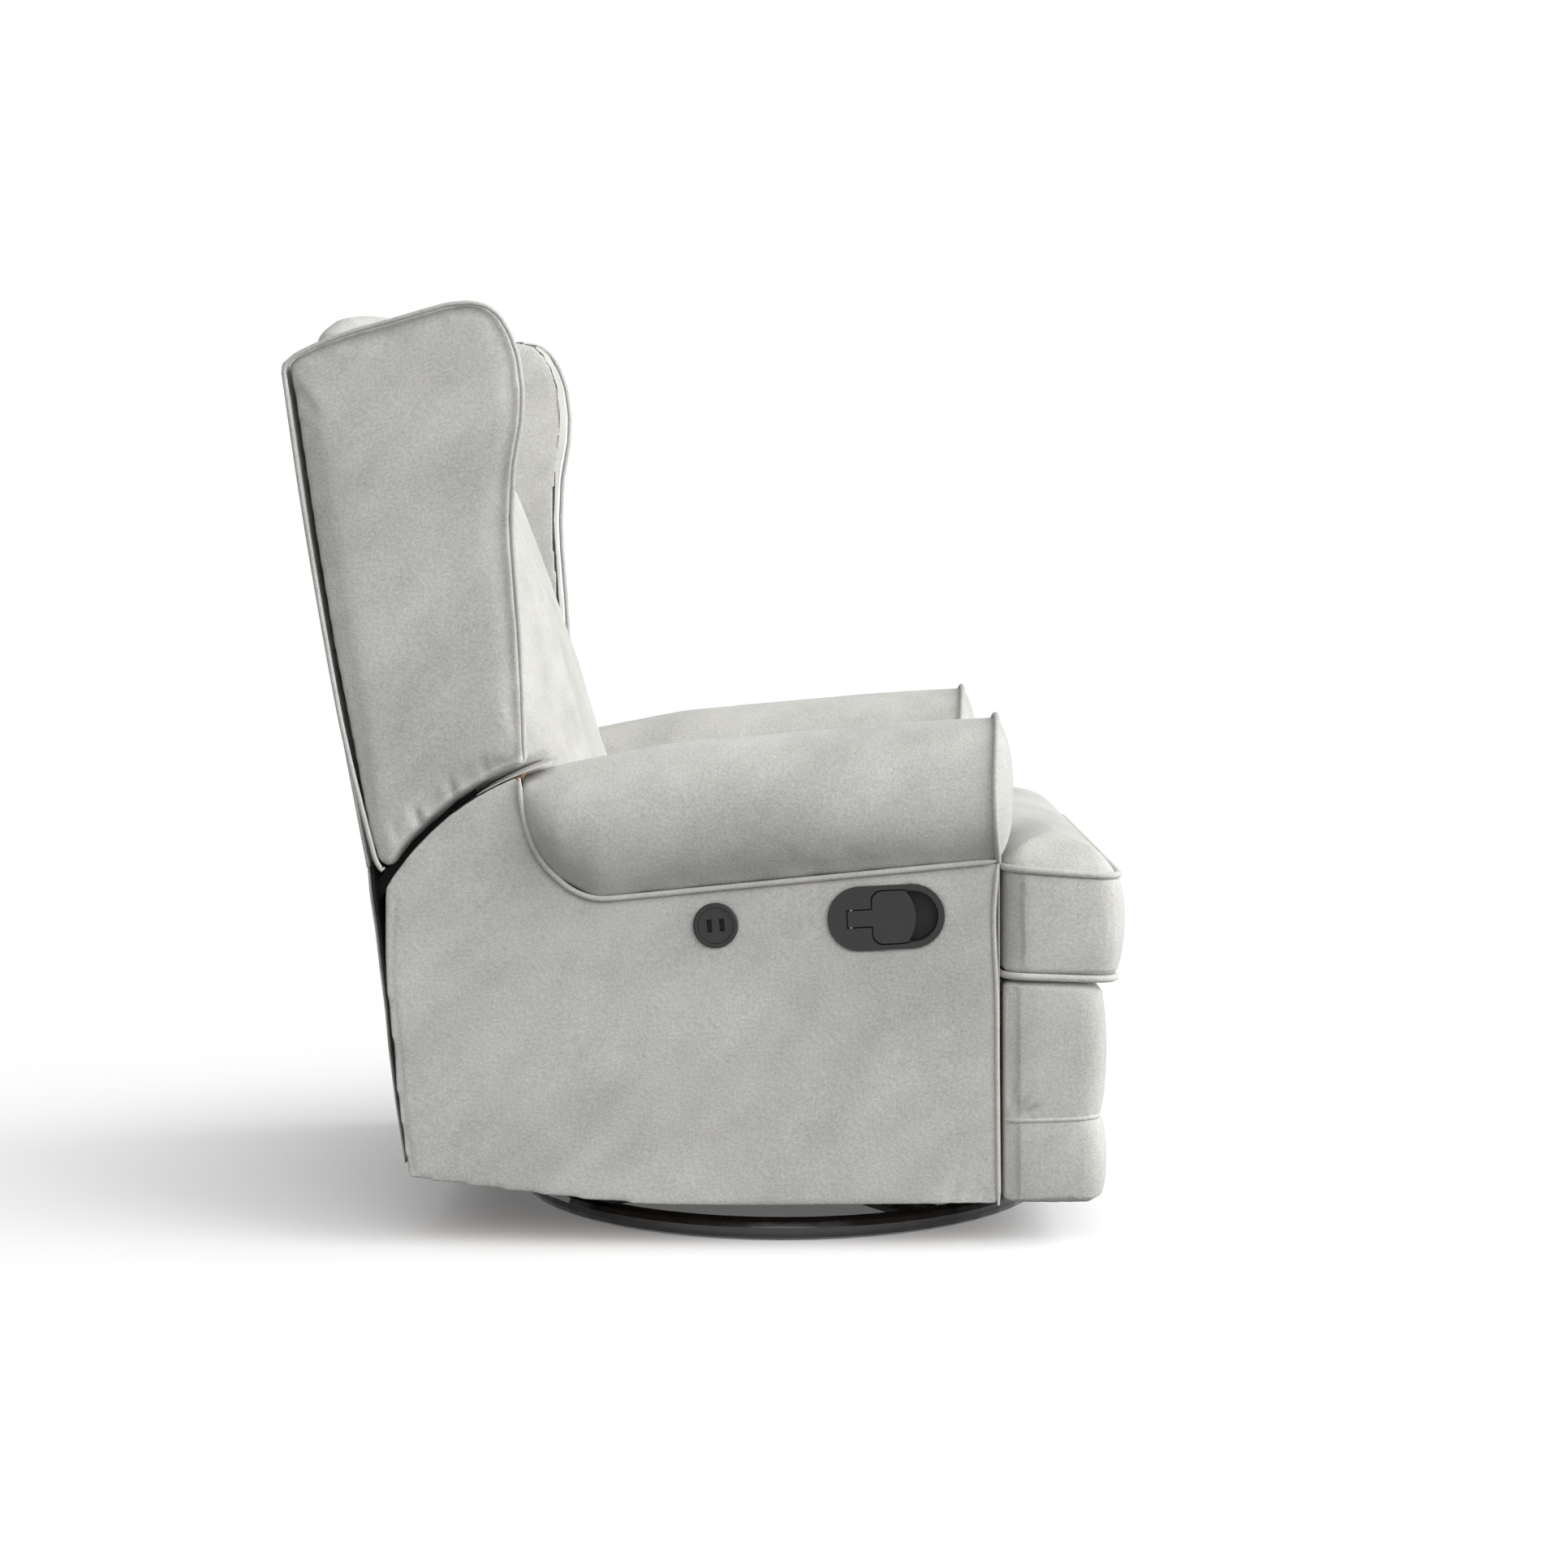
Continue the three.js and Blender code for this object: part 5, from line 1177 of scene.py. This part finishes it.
def wing(rim):
    cheek = foam_from("wing_cover_right", "wing_right", 0.005, 0.001)
    swell(cheek, 3.5, 0.004, lambda co: co.x > -0.292)
    ease(cheek, 3)
    finer(cheek)
    draw_to(cheek, rim + [rim[0]], 16, 0.95)
    forward = [n.vector.y < -0.3 for n in cheek.data.vertex_normals]
    for vertex, faces_front in zip(cheek.data.vertices, forward):
        f, z = f_of(vertex.co), vertex.co.z * 1000
        if faces_front and f > -440:
            high = min(1, max(0, (z - 600) / 60))
            inward = max(0, vertex.co.x + 0.345) / 0.045
            vertex.co.y += (
                0.008 * high * inward ** 1.5
                - 0.003 * (1 - high) * math.sin(math.pi * min(1, inward))
            )
        if vertex.co.x > -0.305:
            vertex.co.x -= 0.019 * min(1, max(0, (f + 405) / 110)) * min(1, max(0, (z - 560) / 120))
            continue
        if vertex.co.x > -0.336:
            continue
        out = 0
        for fold_f, fold_z, depth in (
            (-407, 475, 3.4), (-369, 506, 2.4), (-430, 459, 1.4), (-332, 530, 1.0)
        ):
            across, along = f - fold_f + 0.12 * (z - fold_z), z - fold_z
            out -= depth * math.exp(-((across / 4.5) ** 2)) * math.exp(-((along / 11) ** 2))
            out += (
                0.5 * depth * math.exp(-(((across + 10) / 6) ** 2))
                * math.exp(-((along / 12) ** 2))
            )
            out += (
                0.5 * depth * math.exp(-(((across - 10) / 6) ** 2))
                * math.exp(-((along / 12) ** 2))
            )
        if f > -410:
            rolled = from_pivot(vertex.co)
            out -= 1.6 * math.exp(-(((rolled - 319) / 2.6) ** 2)) * min(1, (f + 410) / 20)
        vertex.co.x -= out / 1000
    return cheek


rim = wing_rim()
cheek = wing(rim)
cheek_other = mirrored("wing_cover_left", cheek)


def piped_part(points):
    """The rim without the wing's open lower edge, in order."""
    kept = [from_pivot(point) > 311.5 for point in points]
    start = next(i for i in range(len(points)) if kept[i] and not kept[i - 1])
    turned, mask = points[start:] + points[:start], kept[start:] + kept[:start]
    return turned[:mask.index(False)] if False in mask else turned


wing_edge = [p + Vector((-0.0012, 0, 0)) for p in piped_part(rim)]
dressed(cheek, "back", "wing_right", fill=0.8)
dressed(cheek_other, "back", "wing_left", fill=0.8)
piping("wing_piping_right", wing_edge, "back", radius=2.8)
piping("wing_piping_left", other_side(wing_edge), "back", radius=2.8)


def felt(name, way, rows):
    """A black sheet on the wing's inner face: painted shade that darkens the slit under the wing.
    """
    verts = [at(way * 285.6, f, z) for row in rows for f, z in row]
    faces = []
    for row in range(len(rows) - 1):
        for column in range(2):
            first = row * 3 + column
            faces.append((first, first + 1, first + 4, first + 3))
    mesh = bpy.data.meshes.new(name)
    mesh.from_pydata(verts, [], faces)
    piece = piece_from(name, mesh, shade_sheet_black)
    thick = piece.modifiers.new("felt", "SOLIDIFY")
    thick.thickness = 0.0012
    thick.offset = 0
    settle(piece)
    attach(piece, "back")


shoulder_slit = []
for step in range(25):
    turn = math.radians(122 + 32 * step / 24)
    shoulder_slit.append([
        (
            recline_pivot[0] + reach * math.cos(turn), recline_pivot[1] + reach * math.sin(turn)
        ) for reach in (301, 307, 313)
    ])
rear_slit = [
    [(outside_line(z) + forward, z) for forward in (5.2, 15, 26)] for z in range(424, 625, 8)
]
# Painted shade: black sheets darken the slits under each wing, which lie in shadow.
for side, way in (("right", -1), ("left", 1)):
    felt(f"shoulder_shade_felt_{side}", way, shoulder_slit)
    felt(f"rear_shade_felt_{side}", way, rear_slit)


# Inside back. One long crowned cushion between the wings, rolled over at the
# crest, filled with fibre.
def inside_back():
    cushion = foam_from("inside_back_cover", "back_cushion", 0.0075, 0.002)
    swell(cushion, 4.0, 0.006, lambda co: abs(co.x) > 0.272)
    ease(cushion, 2)
    for vertex in cushion.data.vertices:
        vertex.co.z -= (
            0.017 * (abs(vertex.co.x) / 0.27) ** 2.5 * min(1, max(0, (vertex.co.z - 0.95) / 0.09))
        )
    finer(cushion)
    dressed(cushion, "back", "back_cushion", fill=0.7)


inside_back()


# Latch. A moulded oval dish let into the side panel, with a sprung finger
# paddle on a steel pin.
def moulded_plastic():
    material, tree, shader, place = surface("charcoal_plastic", (0.021, 0.021, 0.022), 0.5)
    shader.inputs["Specular IOR Level"].default_value = 0.35
    spark = noise(tree, place, 1500.0, 2.0)
    tree.links.new(between(tree, spark, 0.3, 0.7, 0.44, 0.6), shader.inputs["Roughness"])
    tree.links.new(
        shades(
            tree, between(tree, spark, 0.3, 0.7, 0.0, 1.0), (0.017, 0.017, 0.018),
            (0.025, 0.025, 0.026)
        ),
        shader.inputs["Base Color"],
    )
    bumped(tree, shader, spark, 0.0002, 0.3)
    return material


plastic = moulded_plastic()
finish_with(plastic, "latch_bezel", "latch_paddle", "usb_bezel", "usb_socket_block")
finish_with(steel, "paddle_pin")


# Release cable in a black sheath. The charging sockets, two flat slots in a round moulded
# plug, take the charcoal plastic above.
def sheath():
    material, tree, shader, place = surface("cable_sheath", (0.01, 0.01, 0.01), 0.4)
    ribs = noise(tree, place, 700.0, 2.0)
    tree.links.new(between(tree, ribs, 0.3, 0.7, 0.34, 0.5), shader.inputs["Roughness"])
    tree.links.new(
        shades(
            tree, between(tree, ribs, 0.3, 0.7, 0.0, 1.0), (0.008, 0.008, 0.008),
            (0.014, 0.014, 0.014)
        ),
        shader.inputs["Base Color"],
    )
    bumped(tree, shader, ribs, 0.0002, 0.3)
    return material


finish_with(sheath(), "release_cable")
